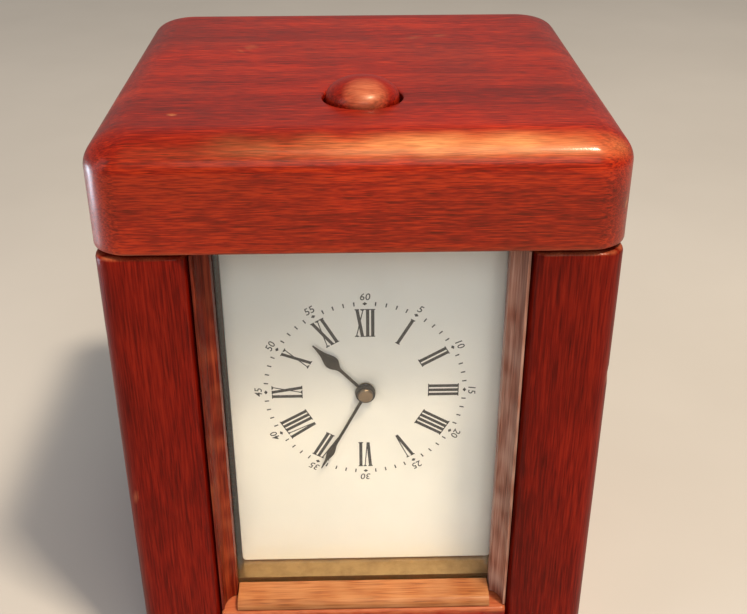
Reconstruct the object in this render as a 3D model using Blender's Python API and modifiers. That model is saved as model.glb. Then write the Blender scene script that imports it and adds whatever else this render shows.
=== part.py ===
"""Travel alarm clock in a wooden case: hinged lid with a push button, glazed dial, back door and movement.

Metres, +Z up, the dial faces -Y. The origin is the middle of the flat underside.
"""

import math

import bmesh
import bpy
from mathutils import Vector

# Case
CASE_W = 0.1160
CASE_D = 0.1120
CASE_H = 0.1523
LID_T = 0.0256
LID_OVERHANG = 0.0007
LID_PLAN_R = 0.0087
LID_EDGE_IN = 0.0100
LID_EDGE_DROP = 0.0074
PLINTH_T = 0.0150
POST = 0.0203
POST_OUTER_R = 0.0046
POST_INNER_R = 0.0030
POST_DROP = 0.0010
PANEL_T = 0.0080
PANEL_INSET = 0.0010
RAIL_T = 0.0110
JOINT = 0.0003
EASE = 0.0006
# Front opening
BEAD_W = 0.0040
BEAD_D = 0.0084
SILL_Z = 0.0250
SILL_T = 0.0030
GLASS_T = 0.0019
GLASS_BEVEL = 0.0030
LEDGE_D = 0.0067
# Dial and hands
DIAL_X = 0.0010
DIAL_Z = 0.0802
DIAL_W = 0.0680
DIAL_T = 0.0016
DIAL_HOLE_R = 0.0021
HOUR_LEN = 0.0189
MINUTE_LEN = 0.0254
HOUR_ANGLE = 317.25
MINUTE_ANGLE = 207.0
HAND_T = 0.0004
# Button
BUTTON_R = 0.0084
BUTTON_Y = -0.0274
BUTTON_RISE = 0.0046
BUTTON_HOLE_GAP = 0.0008
BUTTON_SKIRT = 0.0018
BUTTON_WELL = 0.0092
STEM_R = 0.0024
FIT = 0.00008
GRIP = 0.00005
# Hinges
LEAF_T = 0.0011
KNUCKLE_R = 0.0018
PIN_R = 0.0008
LEAF_STAND = 0.0002
LEAF_FACE = CASE_D / 2 + LID_OVERHANG + LEAF_STAND
LID_AXIS_Y = LEAF_FACE + KNUCKLE_R
# Movement
PLATE_T = 0.0020
PLATE_HALF_W = 0.0310
PLATE_LOW = 0.0320
PLATE_HIGH = 0.1055
FRONT_PLATE_Y = -0.0300
BACK_PLATE_Y = 0.0100
PILLAR_R = 0.0024
ARBOR_R = 0.0011

FINISHES = {
    "mahogany": ((0.25, 0.035, 0.015), 0.30, 0.0),
    "bead_wood": ((0.42, 0.16, 0.07), 0.45, 0.0),
    "glass": ((0.85, 0.90, 0.88), 0.05, 0.0),
    "enamel": ((0.88, 0.85, 0.78), 0.25, 0.0),
    "blued_steel": ((0.02, 0.02, 0.03), 0.30, 1.0),
    "brass": ((0.72, 0.52, 0.22), 0.32, 1.0),
    "steel": ((0.55, 0.56, 0.58), 0.30, 1.0),
    "bell_metal": ((0.66, 0.55, 0.30), 0.25, 1.0),
}

for old in list(bpy.data.objects):
    bpy.data.objects.remove(old, do_unlink=True)

clock = bpy.data.collections.new("travel_alarm_clock")
cutters = bpy.data.collections.new("cutters")
bpy.context.scene.collection.children.link(clock)
bpy.context.scene.collection.children.link(cutters)


def finish(name):
    """The Principled material of that finish."""
    made = bpy.data.materials.get(name)
    if made:
        return made
    colour, roughness, metallic = FINISHES[name]
    made = bpy.data.materials.new(name)
    made.use_nodes = True
    shader = made.node_tree.nodes["Principled BSDF"]
    shader.inputs["Base Color"].default_value = (*colour, 1.0)
    shader.inputs["Roughness"].default_value = roughness
    shader.inputs["Metallic"].default_value = metallic
    made.diffuse_color = (*colour, 1.0)
    return made


def place(name, data, slot, at, collection=None):
    """A new object with that mesh or curve."""
    made = bpy.data.objects.new(name, data)
    made.location = at
    (collection or clock).objects.link(made)
    data.materials.append(finish(slot))
    return made


def ease(made, width, segments=2, limit=35.0):
    """Rounds every edge sharper than limit."""
    mod = made.modifiers.new("ease", "BEVEL")
    mod.width = width
    mod.segments = segments
    mod.limit_method = "ANGLE"
    mod.angle_limit = math.radians(limit)
    return made


def smooth(made, degrees=40.0):
    """Smooth shading with sharp edges kept."""
    for face in made.data.polygons:
        face.use_smooth = True
    made.data.set_sharp_from_angle(angle=math.radians(degrees))
    return made


def block(name, low, high, slot, bevel=0.0, collection=None):
    """A box between two corners."""
    low = Vector(low)
    high = Vector(high)
    mesh = bpy.data.meshes.new(name)
    shape = bmesh.new()
    bmesh.ops.create_cube(shape, size=1.0)
    bmesh.ops.scale(shape, vec=high - low, verts=shape.verts)
    shape.to_mesh(mesh)
    shape.free()
    made = place(name, mesh, slot, (low + high) / 2, collection)
    if bevel:
        ease(made, bevel)
    return made


def circle(radius, steps, centre=(0.0, 0.0), start=0.0):
    """Points round a circle."""
    turn = 2 * math.pi / steps
    return [
        (centre[0] + radius * math.cos(start + turn * i), centre[1] + radius * math.sin(start + turn * i))
        for i in range(steps)
    ]


def arc(centre, radius, first, last, steps):
    """Points on an arc, angles in degrees."""
    span = math.radians(last - first) / steps
    begin = math.radians(first)
    return [
        (centre[0] + radius * math.cos(begin + span * i), centre[1] + radius * math.sin(begin + span * i))
        for i in range(steps + 1)
    ]


def slab(name, outlines, thickness, slot, at, facing="Z", collection=None):
    """A flat piece cut to outlines, drawn as the front shows them (facing Y) or the right side (facing X)."""
    curve = bpy.data.curves.new(name + "_outline", "CURVE")
    curve.dimensions = "2D"
    curve.fill_mode = "BOTH"
    curve.extrude = thickness / 2
    for outline in outlines:
        spline = curve.splines.new("POLY")
        spline.points.add(len(outline) - 1)
        for point, (x, y) in zip(spline.points, outline):
            point.co = (x, y, 0.0, 1.0)
        spline.use_cyclic_u = True
    helper = bpy.data.objects.new(name + "_helper", curve)
    bpy.context.scene.collection.objects.link(helper)
    bpy.context.view_layer.update()
    mesh = bpy.data.meshes.new_from_object(helper.evaluated_get(bpy.context.evaluated_depsgraph_get()))
    bpy.data.objects.remove(helper, do_unlink=True)
    shape = bmesh.new()
    shape.from_mesh(mesh)
    bmesh.ops.remove_doubles(shape, verts=shape.verts, dist=0.000001)
    bmesh.ops.recalc_face_normals(shape, faces=shape.faces)
    shape.to_mesh(mesh)
    shape.free()
    mesh.name = name
    made = place(name, mesh, slot, at, collection)
    if facing == "Y":
        made.rotation_euler = (math.pi / 2, 0.0, 0.0)
    if facing == "X":
        made.rotation_euler = (math.pi / 2, 0.0, math.pi / 2)
    return smooth(made)


def turned(name, profile, slot, at, facing="Z", steps=32, collection=None):
    """A turned piece. The profile lists (radius, height) down its outer side; height runs along facing."""
    mesh = bpy.data.meshes.new(name)
    shape = bmesh.new()
    points = [shape.verts.new((radius, 0.0, height)) for radius, height in profile]
    for first, second in zip(points, points[1:]):
        shape.edges.new((first, second))
    if profile[0][0] > 0:
        shape.edges.new((points[-1], points[0]))
    shape.to_mesh(mesh)
    shape.free()
    made = place(name, mesh, slot, at, collection)
    spin = made.modifiers.new("spin", "SCREW")
    spin.steps = steps
    spin.render_steps = steps
    spin.use_merge_vertices = True
    spin.merge_threshold = 0.00001
    spin.use_smooth_shade = True
    if facing == "Y":
        made.rotation_euler = (-math.pi / 2, 0.0, 0.0)
    if facing == "X":
        made.rotation_euler = (0.0, math.pi / 2, 0.0)
    return made


def rod(name, radius, low, high, slot, at, facing="Z", steps=24, collection=None):
    """A plain round rod from low to high along facing."""
    return turned(name, [(0.0, high), (radius, high), (radius, low),
        (0.0, low)], slot, at, facing, steps, collection)


def combine(target, other, operation):
    """Cuts other from target, or joins it on."""
    mod = target.modifiers.new(other.name, "BOOLEAN")
    mod.operation = operation
    mod.solver = "EXACT"
    mod.object = other
    other.hide_render = True
    other.display_type = "WIRE"
    return target


def cut(target, other):
    return combine(target, other, "DIFFERENCE")


def fuse(target, other):
    return combine(target, other, "UNION")


def pivot(name, at):
    """An empty on a joint's axis."""
    made = bpy.data.objects.new(name, None)
    made.location = at
    made.empty_display_size = 0.01
    clock.objects.link(made)
    return made


def hang(axis, *pieces):
    """The pieces move with the empty on their joint's axis."""
    for piece in pieces:
        piece.location = piece.location - axis.location
        piece.parent = axis


def rounded_ring(half_w, half_d, radius, steps):
    """The outline of a rectangle with round corners."""
    points = []
    for sx, sy, first in ((1, 1, 0), (-1, 1, 90), (-1, -1, 180), (1, -1, 270)):
        centre = (sx * (half_w - radius), sy * (half_d - radius))
        points += arc(centre, radius, first, first + 90, steps)
    return points


def lofted(name, rings, slot, at):
    """A closed skin through rings of equal length, listed from the bottom up as (outline, height)."""
    mesh = bpy.data.meshes.new(name)
    shape = bmesh.new()
    rows = [[shape.verts.new((x, y, height)) for x, y in outline] for outline, height in rings]
    count = len(rows[0])
    for lower, upper in zip(rows, rows[1:]):
        for i in range(count):
            j = (i + 1) % count
            shape.faces.new((lower[i], lower[j], upper[j], upper[i]))
    shape.faces.new(list(reversed(rows[0])))
    shape.faces.new(rows[-1])
    shape.to_mesh(mesh)
    shape.free()
    return place(name, mesh, slot, at)


HALF_W = CASE_W / 2
HALF_D = CASE_D / 2
LID_LOW = CASE_H - LID_T
POST_HIGH = LID_LOW - POST_DROP
INNER_X = HALF_W - POST
INNER_Y = HALF_D - POST
BED = PLINTH_T + JOINT
GLASS_FRONT = -HALF_D + BEAD_D + JOINT
GLASS_BACK = GLASS_FRONT + GLASS_T
DIAL_FRONT = GLASS_BACK + LEDGE_D
DIAL_BACK = DIAL_FRONT + DIAL_T

# Case: a plinth, four corner posts, side boards and rails between them
plinth_rings = []
PLINTH_PROFILE = (
    (0.0, 0.0008), (0.0008, 0.0), (PLINTH_T - 0.0025, 0.0), (PLINTH_T - 0.0007, 0.0012), (PLINTH_T, 0.0030)
)
for rise, inset in PLINTH_PROFILE:
    outline = rounded_ring(
        HALF_W + LID_OVERHANG - inset, HALF_D + LID_OVERHANG - inset, LID_PLAN_R - inset, 6
    )
    plinth_rings.append((outline, rise))
smooth(lofted("base_plinth", plinth_rings, "mahogany", (0.0, 0.0, 0.0)), 50.0)

for end, sy in (("front", -1), ("back", 1)):
    for side, sx in (("left", -1), ("right", 1)):
        corner_outer = arc((0.0, 0.0), POST_OUTER_R, 0, 90, 5)
        corner_inner = arc((0.0, 0.0), POST_INNER_R, 90, 180, 4)
        half = POST / 2
        section = [(x + half - POST_OUTER_R, y + half - POST_OUTER_R) for x, y in corner_outer]
        section += [(x - half + POST_INNER_R, y + half - POST_INNER_R) for x, y in corner_inner]
        section += [(-half, -half), (half, -half)]
        section = [(sx * x, sy * y) for x, y in section]
        middle = (sx * (HALF_W - half), sy * (HALF_D - half), (BED + POST_HIGH) / 2)
        post = slab(f"{end}_{side}_post", [section], POST_HIGH - BED, "mahogany", middle)
        ease(post, EASE)

for side, sx in (("left", -1), ("right", 1)):
    outer = sx * (HALF_W - PANEL_INSET)
    inner = sx * (HALF_W - PANEL_INSET - PANEL_T)
    block(
        f"{side}_side_panel",
        (min(outer, inner), -INNER_Y + JOINT, BED),
        (max(outer, inner), INNER_Y - JOINT, LID_LOW - JOINT),
        "mahogany",
        EASE,
    )

RAIL_X = INNER_X - JOINT
RAIL_TOP = SILL_Z - SILL_T
block("front_rail", (-RAIL_X, -HALF_D, BED), (RAIL_X, GLASS_FRONT - JOINT, RAIL_TOP), "mahogany", 0.0009)
BACK_RAIL_H = 0.0115
DOOR_LOW = BED + BACK_RAIL_H + JOINT
DOOR_HIGH = LID_LOW - JOINT - BACK_RAIL_H - JOINT
block("back_bottom_rail", (-RAIL_X, HALF_D - RAIL_T, BED), (RAIL_X, HALF_D,
    DOOR_LOW - JOINT), "mahogany", EASE)
block(
    "back_top_rail",
    (-RAIL_X, HALF_D - RAIL_T, DOOR_HIGH + JOINT),
    (RAIL_X, HALF_D + LID_OVERHANG, LID_LOW - JOINT),
    "mahogany",
    EASE,
)

# Glazing: two upright beads, a sill bead between them, and the glass behind
BEAD_OUT = INNER_X - JOINT
BEAD_IN = BEAD_OUT - BEAD_W
BEAD_BACK = -HALF_D + BEAD_D
for side, sx in (("left", -1), ("right", 1)):
    hollow = arc((0.0, 0.0), 1.0, 90, 0, 5)
    section = [(BEAD_OUT, BEAD_BACK), (BEAD_OUT, -HALF_D + 0.0016)]
    section += [
        (BEAD_OUT - 0.0006 - (BEAD_W - 0.0010) * (1 - y), -HALF_D + 0.0010 + (BEAD_D - 0.0026) * x)
        for x, y in hollow
    ]
    section += [(BEAD_IN, BEAD_BACK)]
    section = [(sx * x, y) for x, y in section]
    low = RAIL_TOP + JOINT
    high = LID_LOW - 0.0008
    slab(f"{side}_glazing_bead", [section], high - low, "bead_wood", (0.0, 0.0, (low + high) / 2))

sill_profile = [(BEAD_BACK, RAIL_TOP + JOINT), (BEAD_BACK, SILL_Z), (BEAD_BACK - 0.0030, SILL_Z)]
sill_profile += [(-HALF_D + 0.0024, SILL_Z - 0.0002), (-HALF_D + 0.0010, SILL_Z - 0.0009)]
sill_profile += [(-HALF_D + 0.0006, SILL_Z - 0.0018), (-HALF_D + 0.0006, RAIL_TOP + JOINT)]
slab("sill_bead", [sill_profile], 2 * (BEAD_IN - JOINT), "bead_wood", (0.0, 0.0, 0.0), "X")

GLASS_LOW = RAIL_TOP - 0.0040
GLASS_HIGH = LID_LOW - 0.0012
GLASS_X = INNER_X - 0.0005
bevel = GLASS_BEVEL
thin = GLASS_T * 0.45
glass_mid = (GLASS_LOW + GLASS_HIGH) / 2
glass_half_h = (GLASS_HIGH - GLASS_LOW) / 2
mesh = bpy.data.meshes.new("front_glass")
shape = bmesh.new()
rows = []
for inset, y in ((0.0, GLASS_BACK), (0.0, GLASS_BACK - thin), (bevel, GLASS_FRONT)):
    corners = ((-1, -1), (1, -1), (1, 1), (-1, 1))
    wide = GLASS_X - inset
    tall = glass_half_h - inset
    rows.append([shape.verts.new((sx * wide, y, sz * tall)) for sx, sz in corners])
for far, near in zip(rows, rows[1:]):
    for i in range(4):
        j = (i + 1) % 4
        shape.faces.new((far[i], far[j], near[j], near[i]))
shape.faces.new(list(reversed(rows[0])))
shape.faces.new(rows[-1])
bmesh.ops.recalc_face_normals(shape, faces=shape.faces)
shape.to_mesh(mesh)
shape.free()
place("front_glass", mesh, "glass", (0.0, 0.0, glass_mid))

# Lid: a solid block with a stepped hole for the button
lid_axis = pivot("lid_axis", (0.0, LID_AXIS_Y, LID_LOW - JOINT / 2))
LID_STEPS = 7
lid_rings = []
for rise, inset in ((0.0, 0.0007), (0.0007, 0.0), (LID_T - LID_EDGE_DROP, 0.0)):
    lid_rings.append((rise, inset))
for i in range(1, LID_STEPS + 1):
    turn = math.radians(90 * i / LID_STEPS)
    lid_rings.append((LID_T - LID_EDGE_DROP * (1 - math.sin(turn)), LID_EDGE_IN * (1 - math.cos(turn))))
lid_skin = []
for rise, inset in lid_rings:
    radius = LID_PLAN_R - 0.45 * inset
    ring = rounded_ring(HALF_W + LID_OVERHANG - inset, HALF_D + LID_OVERHANG - inset, radius, 6)
    lid_skin.append((ring, LID_LOW + rise))
lid = smooth(lofted("lid", lid_skin, "mahogany", (0.0, 0.0, 0.0)), 50.0)
BUTTON_AT = (DIAL_X, BUTTON_Y, 0.0)
WELL_FLOOR = CASE_H - BUTTON_WELL
UNDER_WELL = LID_LOW + 0.0055
BEYOND = 0.0100
UNDER_WELL_R = 0.0065
LID_HOLES = (
    ("button_well_cutter", BUTTON_R + BUTTON_HOLE_GAP, WELL_FLOOR, CASE_H + BEYOND, 40),
    ("stem_hole_cutter", STEM_R + FIT, LID_LOW - BEYOND, CASE_H, 32),
    ("under_well_cutter", UNDER_WELL_R, LID_LOW - BEYOND, UNDER_WELL, 32),
)
for name, radius, low, high, steps in LID_HOLES:
    cut(lid, rod(name, radius, low, high, "mahogany", BUTTON_AT, collection=cutters, steps=steps))

# Push button: domed head on a stem, with its spring and the washer that keeps it in
button_axis = pivot("button_axis", BUTTON_AT)
head_low = CASE_H - BUTTON_SKIRT
STEM_END = LID_LOW - 0.0042
dome = [(0.0, CASE_H + BUTTON_RISE)]
DOME_STEPS = 6
for i in range(1, DOME_STEPS + 1):
    turn = math.radians(90 * i / DOME_STEPS)
    dome.append((BUTTON_R * math.sin(turn), CASE_H + BUTTON_RISE * math.cos(turn)))
dome += [(BUTTON_R, head_low), (STEM_R, head_low), (STEM_R, STEM_END + 0.0006)]
dome += [(STEM_R - 0.0006, STEM_END), (0.0, STEM_END)]
button = turned("push_button", dome, "mahogany", BUTTON_AT)
WASHER_R = 0.0055
WASHER_T = 0.0010
washer_top = UNDER_WELL - JOINT
washer = turned(
    "button_washer",
    [
        (WASHER_R, washer_top), (WASHER_R, washer_top - WASHER_T),
        (STEM_R + GRIP, washer_top - WASHER_T), (STEM_R + GRIP, washer_top),
    ],
    "brass",
    BUTTON_AT,
    steps=24,
)
SPRING_WIRE = 0.0004
SPRING_R = 0.0042
spring_low = WELL_FLOOR + JOINT + SPRING_WIRE
spring_high = head_low - JOINT - SPRING_WIRE
SPRING_TURNS = 4
SPRING_POINTS = 12
coil = bpy.data.curves.new("button_spring", "CURVE")
coil.dimensions = "3D"
coil.bevel_depth = SPRING_WIRE
coil.bevel_resolution = 1
coil.use_fill_caps = True
line = coil.splines.new("POLY")
line.points.add(SPRING_TURNS * SPRING_POINTS)
for i, point in enumerate(line.points):
    turn = 2 * math.pi * i / SPRING_POINTS
    height = spring_low + (spring_high - spring_low) * i / (SPRING_TURNS * SPRING_POINTS)
    point.co = (SPRING_R * math.cos(turn), SPRING_R * math.sin(turn), height, 1.0)
spring = place("button_spring", coil, "steel", BUTTON_AT)
hang(lid_axis, lid, spring)
hang(button_axis, button, washer)
button_axis.location = button_axis.location - lid_axis.location
button_axis.parent = lid_axis

# Butt hinges: a fixed leaf with the pin, and a moving leaf with two knuckles

def hinge(name, length, height, axis_at, upright):
    """Both leaves on an axis along X, or along Z when upright, the fixed one below or beside it.

    Returns the moving leaf.
    """
    third = length / 6
    end = length / 2
    split = KNUCKLE_R + JOINT
    fixed_outline = [
        (-end, -height), (end, -height), (end, -split), (third, -split), (third, -JOINT),
        (-third, -JOINT), (-third, -split), (-end, -split),
    ]
    inner = third + JOINT
    moving_outline = [
        (-end, height), (-end, JOINT), (-inner, JOINT), (-inner, split),
        (inner, split), (inner, JOINT), (end, JOINT), (end, height),
    ]
    y = axis_at[1] - KNUCKLE_R + LEAF_T / 2
    made = []
    for part, outline, spans, hole in (
        ("fixed_leaf", fixed_outline, ((-third, third),), 0.0),
        ("moving_leaf", moving_outline, ((-end, -inner), (inner, end)), PIN_R + FIT),
    ):
        leaf = slab(f"{name}_{part}", [outline], LEAF_T, "brass", (axis_at[0], y, axis_at[2]), "Y")
        for i, (first, last) in enumerate(spans):
            knuckle_outline = [circle(KNUCKLE_R, 20)]
            middle = Vector((axis_at[0] + (first + last) / 2, axis_at[1], axis_at[2]))
            knuckle = slab(
                f"{name}_{part}_knuckle_{i}", knuckle_outline, last - first, "brass", middle, "X", cutters
            )
            fuse(leaf, knuckle)
            knuckle.parent = leaf
            knuckle.matrix_parent_inverse = leaf.matrix_basis.inverted()
        if hole:
            bore = slab(f"{name}_bore", [circle(hole, 20)], 2 * length, "brass", axis_at, "X", cutters)
            cut(leaf, bore)
            bore.parent = leaf
            bore.matrix_parent_inverse = leaf.matrix_basis.inverted()
        else:
            pin = slab(f"{name}_pin", [circle(PIN_R, 20)], length - 0.0004, "brass", axis_at, "X", cutters)
            fuse(leaf, pin)
            pin.parent = leaf
            pin.matrix_parent_inverse = leaf.matrix_basis.inverted()
        made.append(leaf)
    if upright:
        for leaf in made:
            offset = leaf.location - Vector(axis_at)
            leaf.rotation_euler = (math.pi / 2, math.pi / 2, 0.0)
            leaf.location = Vector(axis_at) + Vector((offset[2], offset[1], -offset[0]))
    return made[1]


hang(lid_axis, hinge("lid_hinge", 0.050, 0.0095, (0.0, LID_AXIS_Y, LID_LOW - JOINT / 2), False))

# Back door on an upright hinge, with a knob
DOOR_T = 0.0060
DOOR_X = RAIL_X
DOOR_FACE = HALF_D
DOOR_AXIS_X = -INNER_X
door_axis_y = DOOR_FACE + LEAF_STAND + KNUCKLE_R
door_mid = (DOOR_LOW + DOOR_HIGH) / 2
door_axis = pivot("door_axis", (DOOR_AXIS_X, door_axis_y, door_mid))
door = block(
    "back_door", (-DOOR_X, DOOR_FACE - DOOR_T, DOOR_LOW), (DOOR_X, DOOR_FACE, DOOR_HIGH), "mahogany", EASE
)
knob_profile = [(0.0, 0.0082), (0.0030, 0.0078), (0.0044, 0.0062), (0.0040, 0.0045), (0.0020, 0.0036)]
knob_profile += [(0.0020, 0.0014), (0.0036, 0.0010), (0.0036, 0.0), (0.0, 0.0)]
knob_at = (DOOR_X - 0.0090, DOOR_FACE + LEAF_STAND, door_mid)
knob = turned("door_knob", knob_profile, "brass", knob_at, "Y", 24)
door_leaf = hinge("door_hinge", 0.045, 0.0085, (DOOR_AXIS_X, door_axis_y, door_mid), True)
hang(door_axis, door, knob, door_leaf)

# Brass bed of the movement, whose front edge shows under the dial, with the post of the bell
BED_T = 0.0026
BED_LEG_IN = 0.0290
BED_LEG_OUT = 0.0350
BED_BACK = 0.0440
BELL_Y = 0.0310
BELL_LOW = 0.0280
BELL_R = 0.0140
BELL_H = 0.0130
BELL_POST_R = 0.0011
bed_top = SILL_Z
bed_under = SILL_Z - BED_T
bed_front = GLASS_BACK + JOINT
bed = block("movement_bed", (-RAIL_X, bed_front, bed_under), (RAIL_X, BED_BACK, bed_top), "brass")
for sx in (-1, 1):
    near = sx * BED_LEG_IN
    far = sx * BED_LEG_OUT
    leg = block(
        f"bed_leg_{sx}",
        (min(near, far), bed_front + 0.004, BED),
        (max(near, far), BED_BACK - 0.004, bed_top - 0.001),
        "brass",
        collection=cutters,
    )
    fuse(bed, leg)
bell_top = BELL_LOW + BELL_H
bell_post = rod(
    "bell_post", BELL_POST_R, bed_under + 0.001, bell_top + 0.002, "brass", (DIAL_X, BELL_Y, 0.0),
    collection=cutters
)
fuse(bed, bell_post)

# Dial plate and its hands
dial_low = SILL_Z + JOINT
dial_high = LID_LOW - 0.0008
dial_half_h = (dial_high - dial_low) / 2
dial_mid = (dial_low + dial_high) / 2
hole_z = DIAL_Z - dial_mid
dial_outline = rounded_ring(DIAL_W / 2, dial_half_h, 0.0012, 3)
dial_hole = circle(DIAL_HOLE_R, 32, (0.0, hole_z))
slab(
    "dial",
    [dial_outline, dial_hole],
    DIAL_T,
    "enamel",
    (DIAL_X, (DIAL_FRONT + DIAL_BACK) / 2, dial_mid),
    "Y",
)


def turn_outline(outline, degrees):
    """The outline turned clockwise, as the dial shows it."""
    turn = -math.radians(degrees)
    across = math.cos(turn)
    rise = math.sin(turn)
    return [(x * across - y * rise, x * rise + y * across) for x, y in outline]


HOUR_HAND_Y = DIAL_FRONT - 0.0008
MINUTE_HAND_Y = HOUR_HAND_Y - 0.0008
PIPE_R = 0.0017


def hand(name, length, eye, neck, spade, angle, y, bore):
    """A flat hand with a round eye and a spade near its tip."""
    bow = arc((0.0, 0.0), eye, 70, -250, 20)
    start, widest, waist, half, tip_half = spade
    right = [(neck, eye * 1.3), (neck * 0.75, start), (half, widest), (tip_half, waist)]
    blade = right + [(0.0001, length), (-0.0001, length)] + [(-x, y_) for x, y_ in reversed(right)]
    outline = blade + list(reversed(bow))[1:-1]
    outline = turn_outline(outline, angle)
    return slab(name, [outline, circle(bore, 24)], HAND_T, "blued_steel", (DIAL_X, y, DIAL_Z), "Y")


HOUR_EYE = 0.0026
HOUR_SPADE = (0.0097, 0.0122, 0.0155, 0.0017, 0.0006)
MINUTE_EYE = 0.0025
MINUTE_SPADE = (0.0178, 0.0198, 0.0218, 0.00095, 0.0004)
hour_hand = hand(
    "hour_hand", HOUR_LEN, HOUR_EYE, 0.0006, HOUR_SPADE, HOUR_ANGLE, HOUR_HAND_Y, PIPE_R + FIT
)
minute_hand = hand(
    "minute_hand", MINUTE_LEN, MINUTE_EYE, 0.0005, MINUTE_SPADE, MINUTE_ANGLE, MINUTE_HAND_Y, ARBOR_R + FIT
)

# Movement frame: two plates, four pillars, the stud of the minute wheel and the ear of the stop lever
BARREL_TURN = 240.0
GREAT_TEETH = 48
CENTRE_PINION = 8
GREAT_M = 0.00075
CENTRE_TEETH = 45
THIRD_PINION = 6
CENTRE_M = 0.00060
THIRD_TEETH = 48
CONTRATE_PINION = 6
THIRD_M = 0.00045
CANNON_TEETH = 12
MINUTE_TEETH = 36
CANNON_M = 0.010 / 24
MINUTE_PINION = 10
HOUR_TEETH = 40
HOUR_M = 0.00040
ALARM_TEETH = 36
ALARM_PINION = 6
ALARM_M = 0.00060
THIN_R = 0.0008


def polar(centre, distance, degrees):
    """The point that far from centre, in the plane of the dial."""
    turn = math.radians(degrees)
    return (centre[0] + distance * math.cos(turn), centre[1] + distance * math.sin(turn))


CENTRE = (DIAL_X, DIAL_Z)
BARREL = polar(CENTRE, GREAT_M * (GREAT_TEETH + CENTRE_PINION) / 2, BARREL_TURN)
THIRD_TURN = 120.0
THIRD = polar(CENTRE, CENTRE_M * (CENTRE_TEETH + THIRD_PINION) / 2, THIRD_TURN)
CONTRATE_TURN = 14.5
CONTRATE = polar(THIRD, THIRD_M * (THIRD_TEETH + CONTRATE_PINION) / 2, CONTRATE_TURN)
STUD_TURN = 30.0
STUD = polar(CENTRE, CANNON_M * (CANNON_TEETH + MINUTE_TEETH) / 2, STUD_TURN)
ALARM_BARREL = (0.0200, 0.0550)
ALARM_TURN = 90.0
ALARM_WHEEL = polar(ALARM_BARREL, ALARM_M * (ALARM_TEETH + ALARM_PINION) / 2, ALARM_TURN)
ALARM_SET = (0.0200, 0.0920)
HAMMER = (-0.0182, 0.0500)
LEVER_PIVOT = (0.0210, 0.1190)
LEVER_REACH = LEVER_PIVOT[0] - DIAL_X
BARREL_ARBOR_R = 0.0015
HOLE_STEPS = 16


def at_plane(point, y):
    return (point[0], y, point[1])


ear_in = LEVER_PIVOT[0] - 0.0040
ear_out = LEVER_PIVOT[0] + 0.0040
ear_top = LEVER_PIVOT[1] + 0.0030
right = DIAL_X + PLATE_HALF_W
left = DIAL_X - PLATE_HALF_W
front_outline = [(left, PLATE_LOW), (right, PLATE_LOW), (right, PLATE_HIGH), (ear_out, PLATE_HIGH)]
front_outline += [(ear_out, ear_top), (ear_in, ear_top), (ear_in, PLATE_HIGH), (left, PLATE_HIGH)]
back_outline = [(left, PLATE_LOW), (right, PLATE_LOW), (right, PLATE_HIGH), (left, PLATE_HIGH)]
shared_holes = [(CENTRE, ARBOR_R), (BARREL, BARREL_ARBOR_R), (THIRD, THIN_R), (CONTRATE, THIN_R)]
shared_holes += [(ALARM_BARREL, BARREL_ARBOR_R), (ALARM_WHEEL, THIN_R)]
front_holes = [circle(radius + FIT, HOLE_STEPS, point) for point, radius in shared_holes]
back_holes = [
    circle(radius + FIT, HOLE_STEPS, point)
    for point, radius in shared_holes + [(HAMMER, THIN_R), (ALARM_SET, ARBOR_R)]
]
front_y = FRONT_PLATE_Y + PLATE_T / 2
back_y = BACK_PLATE_Y + PLATE_T / 2
front_plate = slab(
    "movement_front_plate", [front_outline] + front_holes, PLATE_T, "brass", (0.0, front_y, 0.0), "Y"
)
slab("movement_back_plate", [back_outline] + back_holes, PLATE_T, "brass", (0.0, back_y, 0.0), "Y")
stud_low = DIAL_BACK + 0.0012
stud_high = FRONT_PLATE_Y + 0.001
stud_at = at_plane(STUD, 0.0)
stud = rod("minute_wheel_stud", THIN_R, stud_low, stud_high, "steel", stud_at, "Y", 20, cutters)
fuse(front_plate, stud)
lever_stud = rod(
    "stop_lever_stud", THIN_R, FRONT_PLATE_Y + 0.001, FRONT_PLATE_Y + 0.0044, "steel",
    at_plane(LEVER_PIVOT, 0.0),
    "Y", 20, cutters,
)
fuse(front_plate, lever_stud)
inside_low = FRONT_PLATE_Y + PLATE_T + JOINT
inside_high = BACK_PLATE_Y - JOINT
pillar_mid = (inside_low + inside_high) / 2
half_pillar = (inside_high - inside_low) / 2
waist = PILLAR_R * 0.75
pillar_profile = [
    (0.0, half_pillar), (PILLAR_R, half_pillar), (PILLAR_R, half_pillar - 0.003),
    (waist, half_pillar - 0.006), (waist, -half_pillar + 0.006),
    (PILLAR_R, -half_pillar + 0.003), (PILLAR_R, -half_pillar), (0.0, -half_pillar),
]
for level, z in (("lower", PLATE_LOW + 0.0040), ("upper", PLATE_HIGH - 0.0040)):
    for side, x in (("left", left + 0.0040), ("right", right - 0.0040)):
        turned(f"{level}_{side}_pillar", pillar_profile, "brass", (x, pillar_mid, z), "Y", 14)


def gear(teeth, module, phase):
    """The outline of a gear with one tooth centred at phase degrees."""
    step = 360.0 / teeth
    root = (teeth / 2 - 1.2) * module
    tip = (teeth / 2 + 0.85) * module
    outline = []
    for i in range(teeth):
        middle = phase + step * i
        for radius, share in ((root, -0.25), (tip, -0.09), (tip, 0.09), (root, 0.25)):
            outline.append(polar((0.0, 0.0), radius, middle + share * step))
    return outline


def meshed(phase, teeth, other_teeth, direction):
    """The phase of the other gear, which lies in that direction, so that its teeth fill this one's gaps."""
    step = 360.0 / teeth
    past = ((direction - phase) % step) / step
    return direction + 180.0 + (past + 0.5) * 360.0 / other_teeth


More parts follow.
